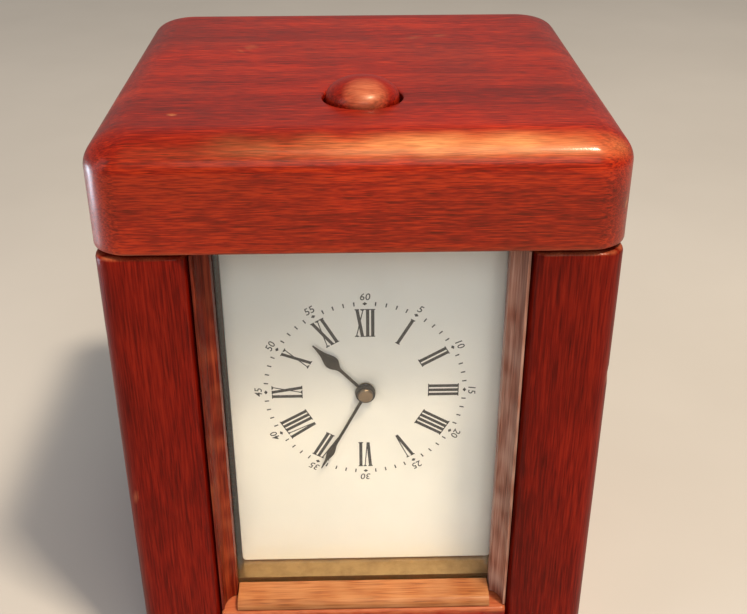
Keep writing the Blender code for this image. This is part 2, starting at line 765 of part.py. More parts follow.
def spokes(rim, hub, arms, width):
    """The openings of a crossed-out wheel."""
    openings = []
    for i in range(arms):
        first = 360.0 / arms * i
        outer_gap = math.degrees(width / 2 / rim)
        inner_gap = math.degrees(width / 2 / hub)
        outer = arc((0.0, 0.0), rim, first + outer_gap, first + 360.0 / arms - outer_gap, 6)
        inner = arc((0.0, 0.0), hub, first + inner_gap, first + 360.0 / arms - inner_gap, 3)
        openings.append(outer + list(reversed(inner)))
    return openings


def along(span):
    """The middle of a span along Y, and its length."""
    return (span[0] + span[1]) / 2, span[1] - span[0]


def wheel(name, teeth, module, phase, span, point, openings, bore, slot="brass", collection=None):
    """A toothed wheel in the dial's plane."""
    middle, thickness = along(span)
    outlines = [gear(teeth, module, phase)] + openings
    if bore:
        outlines.append(circle(bore, HOLE_STEPS))
    return slab(name, outlines, thickness, slot, at_plane(point, middle), "Y", collection)


def arbor(name, radius, span, point, slot="steel"):
    """A plain arbor with eased ends, along Y."""
    low, high = span
    tip = radius * 0.3
    profile = [(0.0, high), (radius - tip, high), (radius, high - tip), (radius,
        low + tip), (radius - tip, low), (0.0, low)]
    return turned(name, profile, slot, at_plane(point, 0.0), "Y", HOLE_STEPS)


# Where each wheel lies between the plates
GREAT_SPAN = (0.0048, 0.0064)
DRUM_SPAN = (-0.0130, 0.0042)
DRUM_R = 0.0150
CENTRE_PINION_SPAN = (0.0040, 0.0072)
CENTRE_WHEEL_SPAN = (-0.0240, -0.0230)
THIRD_PINION_SPAN = (-0.0255, -0.0215)
THIRD_WHEEL_SPAN = (-0.0092, -0.0082)
CONTRATE_PINION_SPAN = (-0.0105, -0.0069)
CONTRATE_SPAN = (-0.0046, -0.0028)
CONTRATE_R = 0.0055
CANNON_SPAN = (-0.0330, -0.0310)
MINUTE_WHEEL_SPAN = (-0.0325, -0.0315)
MINUTE_PINION_SPAN = (-0.0354, -0.0322)
HOUR_WHEEL_SPAN = (-0.0347, -0.0337)

# Centre arbor: minute hand in front, cannon pinion, centre wheel and pinion, and the setting knob behind
ARBOR_FRONT = MINUTE_HAND_Y - 0.0010
ARBOR_REAR = 0.0200
cannon_phase = STUD_TURN
centre_wheel_phase = THIRD_TURN
centre_pinion_phase = BARREL_TURN
minute_axis = pivot("minute_axis", at_plane(CENTRE, 0.0))
centre_arbor = arbor("centre_arbor", ARBOR_R, (ARBOR_FRONT, ARBOR_REAR), CENTRE)
cannon = wheel(
    "cannon_teeth", CANNON_TEETH, CANNON_M, cannon_phase, CANNON_SPAN, CENTRE, [], 0.0, "steel", cutters
)
leaves = wheel(
    "centre_leaves", CENTRE_PINION, GREAT_M, centre_pinion_phase, CENTRE_PINION_SPAN, CENTRE, [], 0.0,
    "steel", cutters
)
fuse(centre_arbor, cannon)
fuse(centre_arbor, leaves)
centre_rim = CENTRE_M * (CENTRE_TEETH / 2 - 3.6)
centre_wheel = wheel(
    "centre_wheel", CENTRE_TEETH, CENTRE_M, centre_wheel_phase, CENTRE_WHEEL_SPAN, CENTRE,
    spokes(centre_rim, 0.0030, 4, 0.0016), ARBOR_R + GRIP,
)
nut_y = MINUTE_HAND_Y - HAND_T / 2 - 0.0001
NUT_R = 0.0019
NUT_T = 0.0008
hand_nut = turned(
    "hand_nut",
    [
        (ARBOR_R + GRIP, nut_y), (NUT_R, nut_y), (NUT_R, nut_y - NUT_T / 2),
        (NUT_R - 0.0004, nut_y - NUT_T), (ARBOR_R + GRIP, nut_y - NUT_T),
    ],
    "brass",
    at_plane(CENTRE, 0.0),
    "Y",
    20,
)
KNOB_SPAN = (0.0150, 0.0195)
setting_knob = turned(
    "hand_setting_knob",
    [
        (ARBOR_R + GRIP, KNOB_SPAN[1]), (0.0052, KNOB_SPAN[1]), (0.0058, KNOB_SPAN[1] - 0.0006),
        (0.0058, KNOB_SPAN[0] + 0.0006), (0.0052, KNOB_SPAN[0]), (ARBOR_R + GRIP, KNOB_SPAN[0]),
    ],
    "brass",
    at_plane(CENTRE, 0.0),
    "Y",
    20,
)
hang(minute_axis, centre_arbor, cannon, leaves, centre_wheel, minute_hand, hand_nut, setting_knob)

# Motion work: the minute wheel with its pinion on the stud, and the hour wheel with its pipe
hour_axis = pivot("hour_axis", at_plane(CENTRE, 0.0))
motion_axis = pivot("motion_axis", at_plane(STUD, 0.0))
minute_wheel_phase = meshed(cannon_phase, CANNON_TEETH, MINUTE_TEETH, STUD_TURN)
minute_pinion_phase = STUD_TURN + 180.0
hour_phase = meshed(minute_pinion_phase, MINUTE_PINION, HOUR_TEETH, STUD_TURN + 180.0)
minute_wheel = wheel(
    "minute_wheel", MINUTE_TEETH, CANNON_M, minute_wheel_phase, MINUTE_WHEEL_SPAN, STUD, [], THIN_R + FIT
)
minute_leaves = wheel(
    "minute_leaves", MINUTE_PINION, HOUR_M, minute_pinion_phase, MINUTE_PINION_SPAN, STUD, [],
    THIN_R + FIT, "brass",
    cutters,
)
fuse(minute_wheel, minute_leaves)
hang(motion_axis, minute_wheel, minute_leaves)
pipe_front = HOUR_HAND_Y - 0.0003
hour_pipe = turned(
    "hour_pipe",
    [
        (ARBOR_R + FIT, HOUR_WHEEL_SPAN[1]), (PIPE_R, HOUR_WHEEL_SPAN[1]),
        (PIPE_R, pipe_front), (ARBOR_R + FIT, pipe_front),
    ],
    "brass",
    at_plane(CENTRE, 0.0),
    "Y",
    20,
    cutters,
)
hour_wheel = wheel(
    "hour_wheel", HOUR_TEETH, HOUR_M, hour_phase, HOUR_WHEEL_SPAN, CENTRE, [], (ARBOR_R + PIPE_R) / 2
)
fuse(hour_wheel, hour_pipe)
hang(hour_axis, hour_wheel, hour_pipe, hour_hand)

# Going barrel, its arbor with ratchet wheel and click, and the winding key
RATCHET_SPAN = (0.0125, 0.0137)
RATCHET_R = 0.0066
RATCHET_TEETH = 18
KEY_SPAN = (0.0160, 0.0218)
WING_REACH = 0.0090
WING_T = 0.0014
ARBOR_END = 0.0205
barrel_axis = pivot("barrel_axis", at_plane(BARREL, 0.0))
winding_axis = pivot("winding_axis", at_plane(BARREL, 0.0))
great_phase = meshed(centre_pinion_phase, CENTRE_PINION, GREAT_TEETH, BARREL_TURN)
barrel = wheel(
    "going_barrel", GREAT_TEETH, GREAT_M, great_phase, GREAT_SPAN, BARREL, [], BARREL_ARBOR_R + FIT
)
drum = turned(
    "going_drum",
    [
        (BARREL_ARBOR_R + FIT, GREAT_SPAN[0] + 0.0004), (DRUM_R, GREAT_SPAN[0] + 0.0004),
        (DRUM_R, DRUM_SPAN[0] + 0.0005), (DRUM_R - 0.0005, DRUM_SPAN[0]),
        (BARREL_ARBOR_R + FIT, DRUM_SPAN[0]),
    ],
    "brass",
    at_plane(BARREL, 0.0),
    "Y",
    32,
    cutters,
)
fuse(barrel, drum)
hang(barrel_axis, barrel, drum)
front_end = FRONT_PLATE_Y + 0.0003
barrel_arbor = arbor("going_barrel_arbor", BARREL_ARBOR_R, (front_end, ARBOR_END), BARREL)


def ratchet_outline(teeth, radius, depth):
    """Saw teeth."""
    step = 360.0 / teeth
    outline = []
    for i in range(teeth):
        outline.append(polar((0.0, 0.0), radius, step * i))
        outline.append(polar((0.0, 0.0), radius - depth, step * (i + 0.12)))
    return outline


def winding_key(name, point, span, bore):
    """A turned hub with a flat two-lobed wing."""
    low, high = span
    hub_r = 0.0027
    key = turned(
        name,
        [
            (0.0, high), (hub_r, high), (hub_r, low),
            (bore, low), (bore, ARBOR_END + JOINT), (0.0, ARBOR_END + JOINT),
        ],
        "brass",
        at_plane(point, 0.0),
        "Y",
        20,
    )
    root = high - 0.0005
    lobe = WING_REACH * 0.52
    outline = [(0.0008, root), (0.0018, root + 0.0020)]
    outline += arc((lobe, root + 0.0048), WING_REACH - lobe, -120, 150, 9)
    outline += [(0.0, root + 0.0052)]
    outline += [(-x, y) for x, y in reversed(outline[:-1])]
    wing = slab(f"{name}_wing", [outline], WING_T, "brass", at_plane(point, 0.0), "Z", cutters)
    fuse(key, wing)
    return key, wing


middle, thickness = along(RATCHET_SPAN)
ratchet = slab(
    "going_ratchet_wheel",
    [ratchet_outline(RATCHET_TEETH, RATCHET_R, 0.0010), circle(BARREL_ARBOR_R + GRIP, HOLE_STEPS)],
    thickness,
    "steel",
    at_plane(BARREL, middle),
    "Y",
)
CLICK_TURN = 205.0
click_tip = polar(BARREL, RATCHET_R + 0.0006, CLICK_TURN)
click_pin = polar(BARREL, RATCHET_R + 0.0042, CLICK_TURN + 52.0)
lean = math.degrees(math.atan2(click_tip[1] - click_pin[1], click_tip[0] - click_pin[0]))
reach = math.dist(click_tip, click_pin)
click_outline = [(reach, 0.0), (reach * 0.55, -0.0013)]
click_outline += arc((0.0, 0.0), 0.0017, -60, -300, 8)
click_outline += [(reach * 0.6, 0.0011)]
click_outline = turn_outline(click_outline, -lean)
slab("going_click", [click_outline], thickness, "steel", at_plane(click_pin, middle), "Y")
going_key, going_wing = winding_key("going_winding_key", BARREL, KEY_SPAN, BARREL_ARBOR_R + GRIP)
hang(winding_axis, barrel_arbor, ratchet, going_key, going_wing)

# Third wheel and contrate wheel
third_axis = pivot("third_axis", at_plane(THIRD, 0.0))
third_pinion_phase = meshed(centre_wheel_phase, CENTRE_TEETH, THIRD_PINION, THIRD_TURN)
third_wheel_phase = CONTRATE_TURN
third_rim = THIRD_M * (THIRD_TEETH / 2 - 3.6)
third_wheel = wheel(
    "third_wheel", THIRD_TEETH, THIRD_M, third_wheel_phase, THIRD_WHEEL_SPAN, THIRD,
    spokes(third_rim, 0.0024, 4, 0.0013),
    0.0,
)
third_arbor = rod(
    "third_arbor", THIN_R, FRONT_PLATE_Y + 0.0003, BACK_PLATE_Y + PLATE_T - 0.0003, "steel",
    at_plane(THIRD, 0.0), "Y",
    HOLE_STEPS, cutters,
)
third_leaves = wheel(
    "third_leaves", THIRD_PINION, CENTRE_M, third_pinion_phase, THIRD_PINION_SPAN, THIRD, [], 0.0,
    "steel", cutters
)
fuse(third_wheel, third_arbor)
fuse(third_wheel, third_leaves)
hang(third_axis, third_wheel, third_arbor, third_leaves)

contrate_axis = pivot("contrate_axis", at_plane(CONTRATE, 0.0))
contrate_phase = meshed(third_wheel_phase, THIRD_TEETH, CONTRATE_PINION, CONTRATE_TURN)
crown_low, crown_high = CONTRATE_SPAN
end_low = FRONT_PLATE_Y + 0.0003
end_high = BACK_PLATE_Y + PLATE_T - 0.0003
contrate = turned(
    "contrate_wheel",
    [
        (0.0, end_high), (THIN_R, end_high), (THIN_R, crown_high),
        (CONTRATE_R, crown_high), (CONTRATE_R, crown_low), (CONTRATE_R - 0.0005, crown_low),
        (CONTRATE_R - 0.0005, crown_high - 0.0005), (THIN_R, crown_high - 0.0005),
        (THIN_R, end_low), (0.0, end_low),
    ],
    "brass",
    at_plane(CONTRATE, 0.0),
    "Y",
    24,
)
contrate_leaves = wheel(
    "contrate_leaves", CONTRATE_PINION, THIRD_M, contrate_phase, CONTRATE_PINION_SPAN, CONTRATE, [], 0.0,
    "steel",
    cutters,
)
fuse(contrate, contrate_leaves)
hang(contrate_axis, contrate, contrate_leaves)

# Platform escapement on top of the plates
PLATFORM_LOW = PLATE_HIGH + JOINT
PLATFORM_T = 0.0014
PLATFORM_TOP = PLATFORM_LOW + PLATFORM_T
ESCAPE = (CONTRATE[0], CONTRATE_SPAN[0] - 0.0013)
LEVER = (ESCAPE[0] - 0.0063, ESCAPE[1])
BALANCE = (ESCAPE[0] - 0.0161, ESCAPE[1])
STAFF_R = 0.0006
ESCAPE_R = 0.0045
ESCAPE_Z = PLATFORM_TOP + 0.0012
LEVER_Z = ESCAPE_Z + 0.0011
BALANCE_Z = LEVER_Z + 0.0030
BALANCE_R = 0.0080
COCK_Z = BALANCE_Z + 0.0026
platform_outline = [
    (x - 0.0040, y - 0.0095) for x, y in rounded_ring(0.0185, 0.0160, 0.0020, 3)
]
platform_holes = [circle(STAFF_R + FIT, 12, point) for point in (ESCAPE, LEVER, BALANCE)]
slab(
    "escapement_platform",
    [platform_outline] + platform_holes,
    PLATFORM_T,
    "brass",
    (0.0, 0.0, (PLATFORM_LOW + PLATFORM_TOP) / 2),
)
escape_axis = pivot("escape_axis", (*ESCAPE, 0.0))
escape_outline = ratchet_outline(15, ESCAPE_R, 0.0012)
escape_wheel = slab("escape_wheel", [escape_outline], 0.0005, "steel", (*ESCAPE, ESCAPE_Z))
escape_arbor = rod(
    "escape_arbor", STAFF_R, CONTRATE[1] + 0.0041, LEVER_Z - 0.0006, "steel", (*ESCAPE, 0.0), "Z", 12,
    cutters
)
fuse(escape_wheel, escape_arbor)
hang(escape_axis, escape_wheel, escape_arbor)

lever_axis = pivot("pallet_axis", (*LEVER, 0.0))
lever_outline = [
    (0.0035, 0.0030), (0.0023, 0.0034), (0.0010, 0.0012), (-0.0060, 0.0006), (-0.0078, 0.0014),
    (-0.0078, 0.0007), (-0.0068, 0.0), (-0.0078, -0.0007), (-0.0078, -0.0014),
    (-0.0060, -0.0006), (0.0010, -0.0012),
    (0.0023, -0.0034), (0.0035, -0.0030), (0.0026, 0.0),
]
pallet_lever = slab("pallet_lever", [lever_outline], 0.0006, "steel", (*LEVER, LEVER_Z))
lever_arbor = rod(
    "lever_arbor", STAFF_R, PLATFORM_LOW, LEVER_Z + 0.0012, "steel", (*LEVER, 0.0), "Z", 12, cutters
)
fuse(pallet_lever, lever_arbor)
hang(lever_axis, pallet_lever, lever_arbor)

balance_axis = pivot("balance_axis", (*BALANCE, 0.0))
balance_wheel = slab(
    "balance_wheel",
    [circle(BALANCE_R, 32)] + spokes(BALANCE_R - 0.0012, 0.0014, 2, 0.0012),
    0.0010,
    "brass",
    (*BALANCE, BALANCE_Z),
)
staff = rod(
    "balance_staff", STAFF_R, PLATFORM_LOW, COCK_Z + 0.0003, "steel", (*BALANCE, 0.0), "Z", 12, cutters
)
fuse(balance_wheel, staff)
hang(balance_axis, balance_wheel, staff)

COCK_T = 0.0014
FOOT_Y = BALANCE[1] + BALANCE_R + 0.0026
cock_end = FOOT_Y - BALANCE[1] + 0.0018
cock_outline = arc((0.0, 0.0), 0.0030, 180, 360, 10) + [(0.0034, cock_end), (-0.0034, cock_end)]
balance_cock = slab(
    "balance_cock",
    [cock_outline, circle(STAFF_R + FIT, 12)],
    COCK_T,
    "brass",
    (*BALANCE, COCK_Z),
)
cock_foot = block(
    "cock_foot",
    (BALANCE[0] - 0.0032, FOOT_Y - 0.0016, PLATFORM_TOP + JOINT),
    (BALANCE[0] + 0.0032, FOOT_Y + 0.0016, COCK_Z),
    "brass",
    collection=cutters,
)
fuse(balance_cock, cock_foot)

# Alarm: barrel, wheel, key, hammer, bell, setting arbor and the stop lever under the button
alarm_barrel_axis = pivot("alarm_barrel_axis", at_plane(ALARM_BARREL, 0.0))
alarm_key_axis = pivot("alarm_key_axis", at_plane(ALARM_BARREL, 0.0))
alarm_wheel_axis = pivot("alarm_wheel_axis", at_plane(ALARM_WHEEL, 0.0))
ALARM_DRUM_R = 0.0095
alarm_pinion_phase = 0.0
alarm_phase = meshed(alarm_pinion_phase, ALARM_PINION, ALARM_TEETH, ALARM_TURN + 180.0)
alarm_barrel = wheel(
    "alarm_barrel", ALARM_TEETH, ALARM_M, alarm_phase, GREAT_SPAN, ALARM_BARREL, [], BARREL_ARBOR_R + FIT
)
alarm_drum = turned(
    "alarm_drum",
    [
        (BARREL_ARBOR_R + FIT, GREAT_SPAN[0] + 0.0004), (ALARM_DRUM_R, GREAT_SPAN[0] + 0.0004),
        (ALARM_DRUM_R, DRUM_SPAN[0]), (BARREL_ARBOR_R + FIT, DRUM_SPAN[0]),
    ],
    "brass",
    at_plane(ALARM_BARREL, 0.0),
    "Y",
    24,
    cutters,
)
fuse(alarm_barrel, alarm_drum)
hang(alarm_barrel_axis, alarm_barrel, alarm_drum)
alarm_wheel = slab(
    "alarm_wheel",
    [ratchet_outline(20, 0.0060, 0.0012)],
    0.0010,
    "brass",
    at_plane(ALARM_WHEEL, -0.0180),
    "Y",
)
alarm_arbor = rod("alarm_arbor", THIN_R, end_low, end_high, "steel", at_plane(ALARM_WHEEL,
    0.0), "Y", HOLE_STEPS, cutters)
alarm_leaves = wheel(
    "alarm_leaves", ALARM_PINION, ALARM_M, alarm_pinion_phase, (0.0040, 0.0072), ALARM_WHEEL, [], 0.0,
    "steel", cutters
)
fuse(alarm_wheel, alarm_arbor)
fuse(alarm_wheel, alarm_leaves)
hang(alarm_wheel_axis, alarm_wheel, alarm_arbor, alarm_leaves)
alarm_key_arbor = arbor("alarm_winding_arbor", BARREL_ARBOR_R, (front_end, ARBOR_END), ALARM_BARREL)
alarm_key, alarm_wing = winding_key("alarm_winding_key", ALARM_BARREL, KEY_SPAN, BARREL_ARBOR_R + GRIP)
hang(alarm_key_axis, alarm_key_arbor, alarm_key, alarm_wing)

set_axis = pivot("alarm_set_axis", at_plane(ALARM_SET, 0.0))
alarm_set = turned(
    "alarm_setting_knob",
    [
        (0.0, 0.0195), (0.0044, 0.0195), (0.0050, 0.0189), (0.0050, 0.0156), (0.0044, 0.0150),
        (0.0030, 0.0150),
        (0.0030, 0.0135), (0.0070, 0.0135), (0.0070, 0.0126), (ARBOR_R, 0.0126), (ARBOR_R, -0.0100),
        (0.0, -0.0100),
    ],
    "brass",
    at_plane(ALARM_SET, 0.0),
    "Y",
    20,
)
hang(set_axis, alarm_set)

hammer_axis = pivot("hammer_axis", at_plane(HAMMER, 0.0))
HEAD_R = 0.0022
HEAD_Z = 0.0310
hammer = arbor("alarm_hammer", THIN_R, (BACK_PLATE_Y - 0.0020, BELL_Y + 0.0015), HAMMER)
hammer_arm = rod("hammer_arm", 0.0007, HEAD_Z, HAMMER[1], "steel", (HAMMER[0], BELL_Y,
    0.0), "Z", 12, cutters)
hammer_head = rod(
    "hammer_head", HEAD_R, -0.0025, 0.0022, "steel", (HAMMER[0], BELL_Y, HEAD_Z), "X", 16, cutters
)
fuse(hammer, hammer_arm)
fuse(hammer, hammer_head)
hang(hammer_axis, hammer, hammer_arm, hammer_head)

BELL_WALL = 0.0009
BELL_STEPS = 7
bell_outer = [(BELL_POST_R + GRIP, bell_top)]
bell_inner = []
for i in range(1, BELL_STEPS + 1):
    turn = math.radians(90 * i / BELL_STEPS)
    bell_outer.append((BELL_R * math.sin(turn), BELL_LOW + BELL_H * math.cos(turn)))
    bell_inner.append(((BELL_R - BELL_WALL) * math.sin(turn),
        BELL_LOW + (BELL_H - BELL_WALL) * math.cos(turn)))
bell_profile = bell_outer + list(reversed(bell_inner)) + [(BELL_POST_R + GRIP, bell_top - BELL_WALL)]
turned("alarm_bell", bell_profile, "bell_metal", (DIAL_X, BELL_Y, 0.0), "Z", 28)

stop_axis = pivot("stop_axis", at_plane(LEVER_PIVOT, 0.0))
pad_top = STEM_END - JOINT - LEVER_PIVOT[1]
stop_outline = arc((0.0, 0.0), 0.0026, -120, 60, 8)
stop_outline += [(-LEVER_REACH + 0.0030, pad_top), (-LEVER_REACH - 0.0030,
    pad_top), (-LEVER_REACH - 0.0030, pad_top - 0.0016)]
stop_outline += [(-LEVER_REACH + 0.0030, pad_top - 0.0022)]
stop_lever = slab(
    "alarm_stop_lever",
    [stop_outline, circle(THIN_R + FIT, HOLE_STEPS)],
    0.0012,
    "steel",
    at_plane(LEVER_PIVOT, FRONT_PLATE_Y + PLATE_T + 0.0009),
    "Y",
)
hang(stop_axis, stop_lever)
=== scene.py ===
"""Looks of the travel alarm clock: red-stained wood, enamel dial, bevelled glass, brass and steel."""

import math

import bmesh
import bpy
from mathutils import Matrix, Vector, noise


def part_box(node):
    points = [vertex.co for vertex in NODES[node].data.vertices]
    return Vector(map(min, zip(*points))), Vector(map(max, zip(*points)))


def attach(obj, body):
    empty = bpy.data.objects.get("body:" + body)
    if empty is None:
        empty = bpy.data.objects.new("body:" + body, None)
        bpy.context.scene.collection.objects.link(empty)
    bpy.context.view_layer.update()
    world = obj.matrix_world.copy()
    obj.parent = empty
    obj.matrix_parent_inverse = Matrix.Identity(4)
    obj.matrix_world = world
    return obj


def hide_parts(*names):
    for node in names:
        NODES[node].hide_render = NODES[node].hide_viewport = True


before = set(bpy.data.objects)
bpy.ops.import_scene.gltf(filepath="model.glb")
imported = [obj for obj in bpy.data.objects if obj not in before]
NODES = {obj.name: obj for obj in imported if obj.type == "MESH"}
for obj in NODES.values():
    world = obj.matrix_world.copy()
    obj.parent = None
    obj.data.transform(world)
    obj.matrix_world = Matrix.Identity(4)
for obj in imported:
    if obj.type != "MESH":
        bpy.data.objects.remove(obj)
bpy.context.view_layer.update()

MM = 0.001
SCENE = bpy.context.scene


def middle(node):
    """The middle of a CAD node's box."""
    low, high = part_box(node)
    return (low + high) / 2


# ---------------------------------------------------------------- materials


def put(tree, kind, inputs=None, **settings):
    """A new node with its settings and socket values."""
    node = tree.nodes.new(kind)
    for key, value in settings.items():
        setattr(node, key, value)
    for key, value in (inputs or {}).items():
        node.inputs[key].default_value = value
    return node


def material(name, **values):
    """A new material, its tree and its Principled node with plain values set."""
    made = bpy.data.materials.new(name)
    made.use_nodes = True
    tree = made.node_tree
    shader = tree.nodes["Principled BSDF"]
    for key, value in values.items():
        shader.inputs[key.replace("_", " ")].default_value = value
    return made, tree, shader


def grain_noise(tree, coords, scale, detail=4.0, roughness=0.55, distortion=0.0):
    """Noise whose scale differs along each axis, in features per metre."""
    mapping = put(tree, "ShaderNodeMapping", {"Scale": scale})
    tree.links.new(coords, mapping.inputs["Vector"])
    made = put(
        tree,
        "ShaderNodeTexNoise",
        {"Scale": 1.0, "Detail": detail, "Roughness": roughness, "Distortion": distortion},
    )
    tree.links.new(mapping.outputs["Vector"], made.inputs["Vector"])
    return made.outputs["Fac"]


def ramp(tree, value, stops):
    """A colour ramp fed by value. Each stop is (position, colour)."""
    made = put(tree, "ShaderNodeValToRGB")
    band = made.color_ramp
    while len(band.elements) < len(stops):
        band.elements.new(0.5)
    for element, (position, colour) in zip(band.elements, stops):
        element.position = position
        element.color = (*colour, 1.0)
    tree.links.new(value, made.inputs["Fac"])
    return made.outputs["Color"]


def grey(level):
    """A neutral colour."""
    return (level, level, level)


def calc(tree, operation, first, second):
    """A Math node of two values or links."""
    made = put(tree, "ShaderNodeMath", operation=operation)
    for socket, value in zip(made.inputs, (first, second)):
        if isinstance(value, (int, float)):
            socket.default_value = value
        else:
            tree.links.new(value, socket)
    return made.outputs["Value"]


def blend(tree, mode, factor, first, second):
    """Two colours mixed."""
    made = put(tree, "ShaderNodeMix", data_type="RGBA", blend_type=mode)
    for socket, value in ((made.inputs[0], factor), (made.inputs[6], first), (made.inputs[7], second)):
        if isinstance(value, (int, float)):
            socket.default_value = value
        elif isinstance(value, tuple):
            socket.default_value = (*value, 1.0)
        else:
            tree.links.new(value, socket)
    return made.outputs[2]


def bump(tree, shader, height, strength, distance, below=None):
    """A bump from height, on top of another bump when below is given."""
    made = put(tree, "ShaderNodeBump", {"Strength": strength, "Distance": distance})
    tree.links.new(height, made.inputs["Height"])
    if below:
        tree.links.new(below, made.inputs["Normal"])
    tree.links.new(made.outputs["Normal"], shader.inputs["Normal"])
    return made.outputs["Normal"]


def attribute(tree, name):
    """The value stored under a name at each vertex."""
    return put(tree, "ShaderNodeAttribute", attribute_name=name).outputs["Fac"]


AXES = {"X": 0, "Y": 1, "Z": 2}


def wood(
    name, grain, dark, mid, light, coat=0.32, gloss=0.16, worn=(0.42, 0.12, 0.05), length=1.0, fine=1.0,
    calm=0.0, sheen=0.12, pore=0.75,
):
    """
    Stained wood under old polish. The grain runs along one axis; the attribute wear mixes in the paler worn
    colour, for real wear and, on some pieces, for painted highlights and painted shade.
    Calm is how much the polish evens out the grain on a face that looks up, sheen the warm gloss of the wood
    and pore the darkness of its pores.
    """
    made, tree, shader = material(
        name, Coat_Weight=coat, Coat_Roughness=gloss, Coat_IOR=1.45, Specular_IOR_Level=sheen,
        Specular_Tint=(1.0, 0.58, 0.30, 1.0),
    )
    coords = put(tree, "ShaderNodeTexCoord").outputs["Object"]

    def along(run, across):
        scale = [fine / across] * 3
        scale[AXES[grain]] = 1 / (run * length)
        return scale

    figure = grain_noise(tree, coords, along(0.090, 0.012), 3.0, 0.5, 0.5)
    streak = grain_noise(tree, coords, along(0.014, 0.0010), 3.0, 0.6)
    dash = grain_noise(tree, coords, along(0.0046, 0.00042), 2.0, 0.55)
    fleck = grain_noise(tree, coords, along(0.0042, 0.00036), 1.0, 0.5)
    blotch = grain_noise(tree, coords, [30.0] * 3, 4.0, 0.6)
    tone = calc(tree, "ADD", calc(tree, "MULTIPLY", figure, 0.26), calc(tree, "MULTIPLY", streak, 0.28))
    tone = calc(tree, "ADD", tone, calc(tree, "MULTIPLY", dash, 0.46))
    facing = put(tree, "ShaderNodeSeparateXYZ")
    tree.links.new(put(tree, "ShaderNodeTexCoord").outputs["Normal"], facing.inputs[0])
    upward = calc(tree, "MULTIPLY", calc(tree, "MAXIMUM", facing.outputs["Z"], 0.0), calm)
    away = calc(tree, "MULTIPLY", calc(tree, "SUBTRACT", tone, 0.5), calc(tree, "SUBTRACT", 1.0, upward))
    tone = calc(tree, "ADD", away, 0.5)
    colour = ramp(tree, tone, [(0.41, dark), (0.50, mid), (0.60, light)])
    pores = ramp(tree, fleck, [(0.27, grey(0.22)), (0.37, grey(1.0))])
    seen = calc(tree, "SUBTRACT", pore, calc(tree, "MULTIPLY", upward, 0.5))
    colour = blend(tree, "MULTIPLY", seen, colour, pores)
    patches = ramp(tree, blotch, [(0.35, grey(0.72)), (0.65, grey(1.15))])
    colour = blend(tree, "MULTIPLY", 0.85, colour, patches)
    wear_and_light = attribute(tree, "wear")
    patchy = calc(tree, "ADD", 0.15, calc(tree, "MULTIPLY", dash, 1.5))
    bare = calc(tree, "MULTIPLY", wear_and_light, patchy)
    colour = blend(tree, "MIX", bare, colour, worn)
    tree.links.new(colour, shader.inputs["Base Color"])
    dull = calc(tree, "ADD", 0.28, calc(tree, "MULTIPLY", blotch, 0.24))
    tree.links.new(calc(tree, "ADD", dull, calc(tree, "MULTIPLY", dash, 0.08)), shader.inputs["Roughness"])
    soft = bump(tree, shader, blotch, 0.22, 0.0006)
    relief = calc(tree, "ADD", calc(tree, "MULTIPLY", streak, 0.4), calc(tree, "MULTIPLY", fleck, 0.6))
    bump(tree, shader, relief, 0.32, 0.00012, soft)
    return made


RED = {"dark": (0.110, 0.0018, 0.0005), "mid": (0.235, 0.0046, 0.0010), "light": (0.42, 0.024, 0.003)}
POST_RED = {"dark": (0.092, 0.0024, 0.0009), "mid": (0.150, 0.0045, 0.0014), "light": (0.215, 0.010, 0.003)}
# the lid's worn colour also serves as its painted highlight along the front edge
lid_wood = wood(
    "lid_wood", "X", **RED, coat=0.22, gloss=0.13, worn=(0.66, 0.27, 0.10),
    fine=1.6, calm=0.12, sheen=0.46,
)
# the button's worn colour is used only for its painted reflection on the dome
button_wood = wood(
    "button_wood", "X", **RED, coat=0.30, gloss=0.26, worn=(0.54, 0.18, 0.09),
    calm=0.7, sheen=0.40,
)
post_wood = wood("post_wood", "Z", **POST_RED, coat=0.18, length=2.0, sheen=0.05, pore=0.42)
rail_wood = wood("rail_wood", "X", **RED)
panel_wood = wood("panel_wood", "Z", **POST_RED, length=2.0)
# painted light: the left bead is a darker shaded copy of the bead wood and the right bead a paler, pinker lit
# copy
shaded_left_bead_wood = wood(
    "shaded_left_bead_wood", "Z", (0.07, 0.004, 0.002), (0.15, 0.011, 0.004), (0.26, 0.036, 0.011),
    coat=0.22, gloss=0.30, worn=(0.40, 0.09, 0.035), length=2.5,
)
lit_right_bead_wood = wood(
    "lit_right_bead_wood", "Z", (0.17, 0.045, 0.026), (0.32, 0.115, 0.072), (0.46, 0.22, 0.16),
    coat=0.25, gloss=0.35, worn=(0.52, 0.33, 0.26), length=2.5,
)
sill_wood = wood(
    "sill_wood", "X", (0.17, 0.040, 0.010), (0.30, 0.090, 0.024), (0.40, 0.15, 0.050),
    coat=0.3, gloss=0.3, worn=(0.44, 0.20, 0.085), length=2.0,
)


def metal(name, colour, roughness, brushed, tarnish, spots=0.35):
    """Metal with fine brushing along one axis and a mottled tarnish."""
    made, tree, shader = material(name, Metallic=1.0)
    coords = put(tree, "ShaderNodeTexCoord").outputs["Object"]
    scale = [9000.0] * 3
    scale[AXES[brushed]] = 260.0
    lines = grain_noise(tree, coords, scale, 2.0, 0.5)
    mottle = grain_noise(tree, coords, [240.0] * 3, 5.0, 0.62)
    patches = ramp(tree, mottle, [(0.42, grey(0.0)), (0.72, grey(1.0))])
    base = blend(tree, "MIX", calc(tree, "MULTIPLY", patches, spots), colour, tarnish)
    tree.links.new(base, shader.inputs["Base Color"])
    rough = calc(tree, "ADD", roughness - 0.06, calc(tree, "MULTIPLY", lines, 0.12))
    rough = calc(tree, "ADD", rough, calc(tree, "MULTIPLY", patches, 0.14))
    tree.links.new(rough, shader.inputs["Roughness"])
    bump(tree, shader, lines, 0.12, 0.00004)
    return made


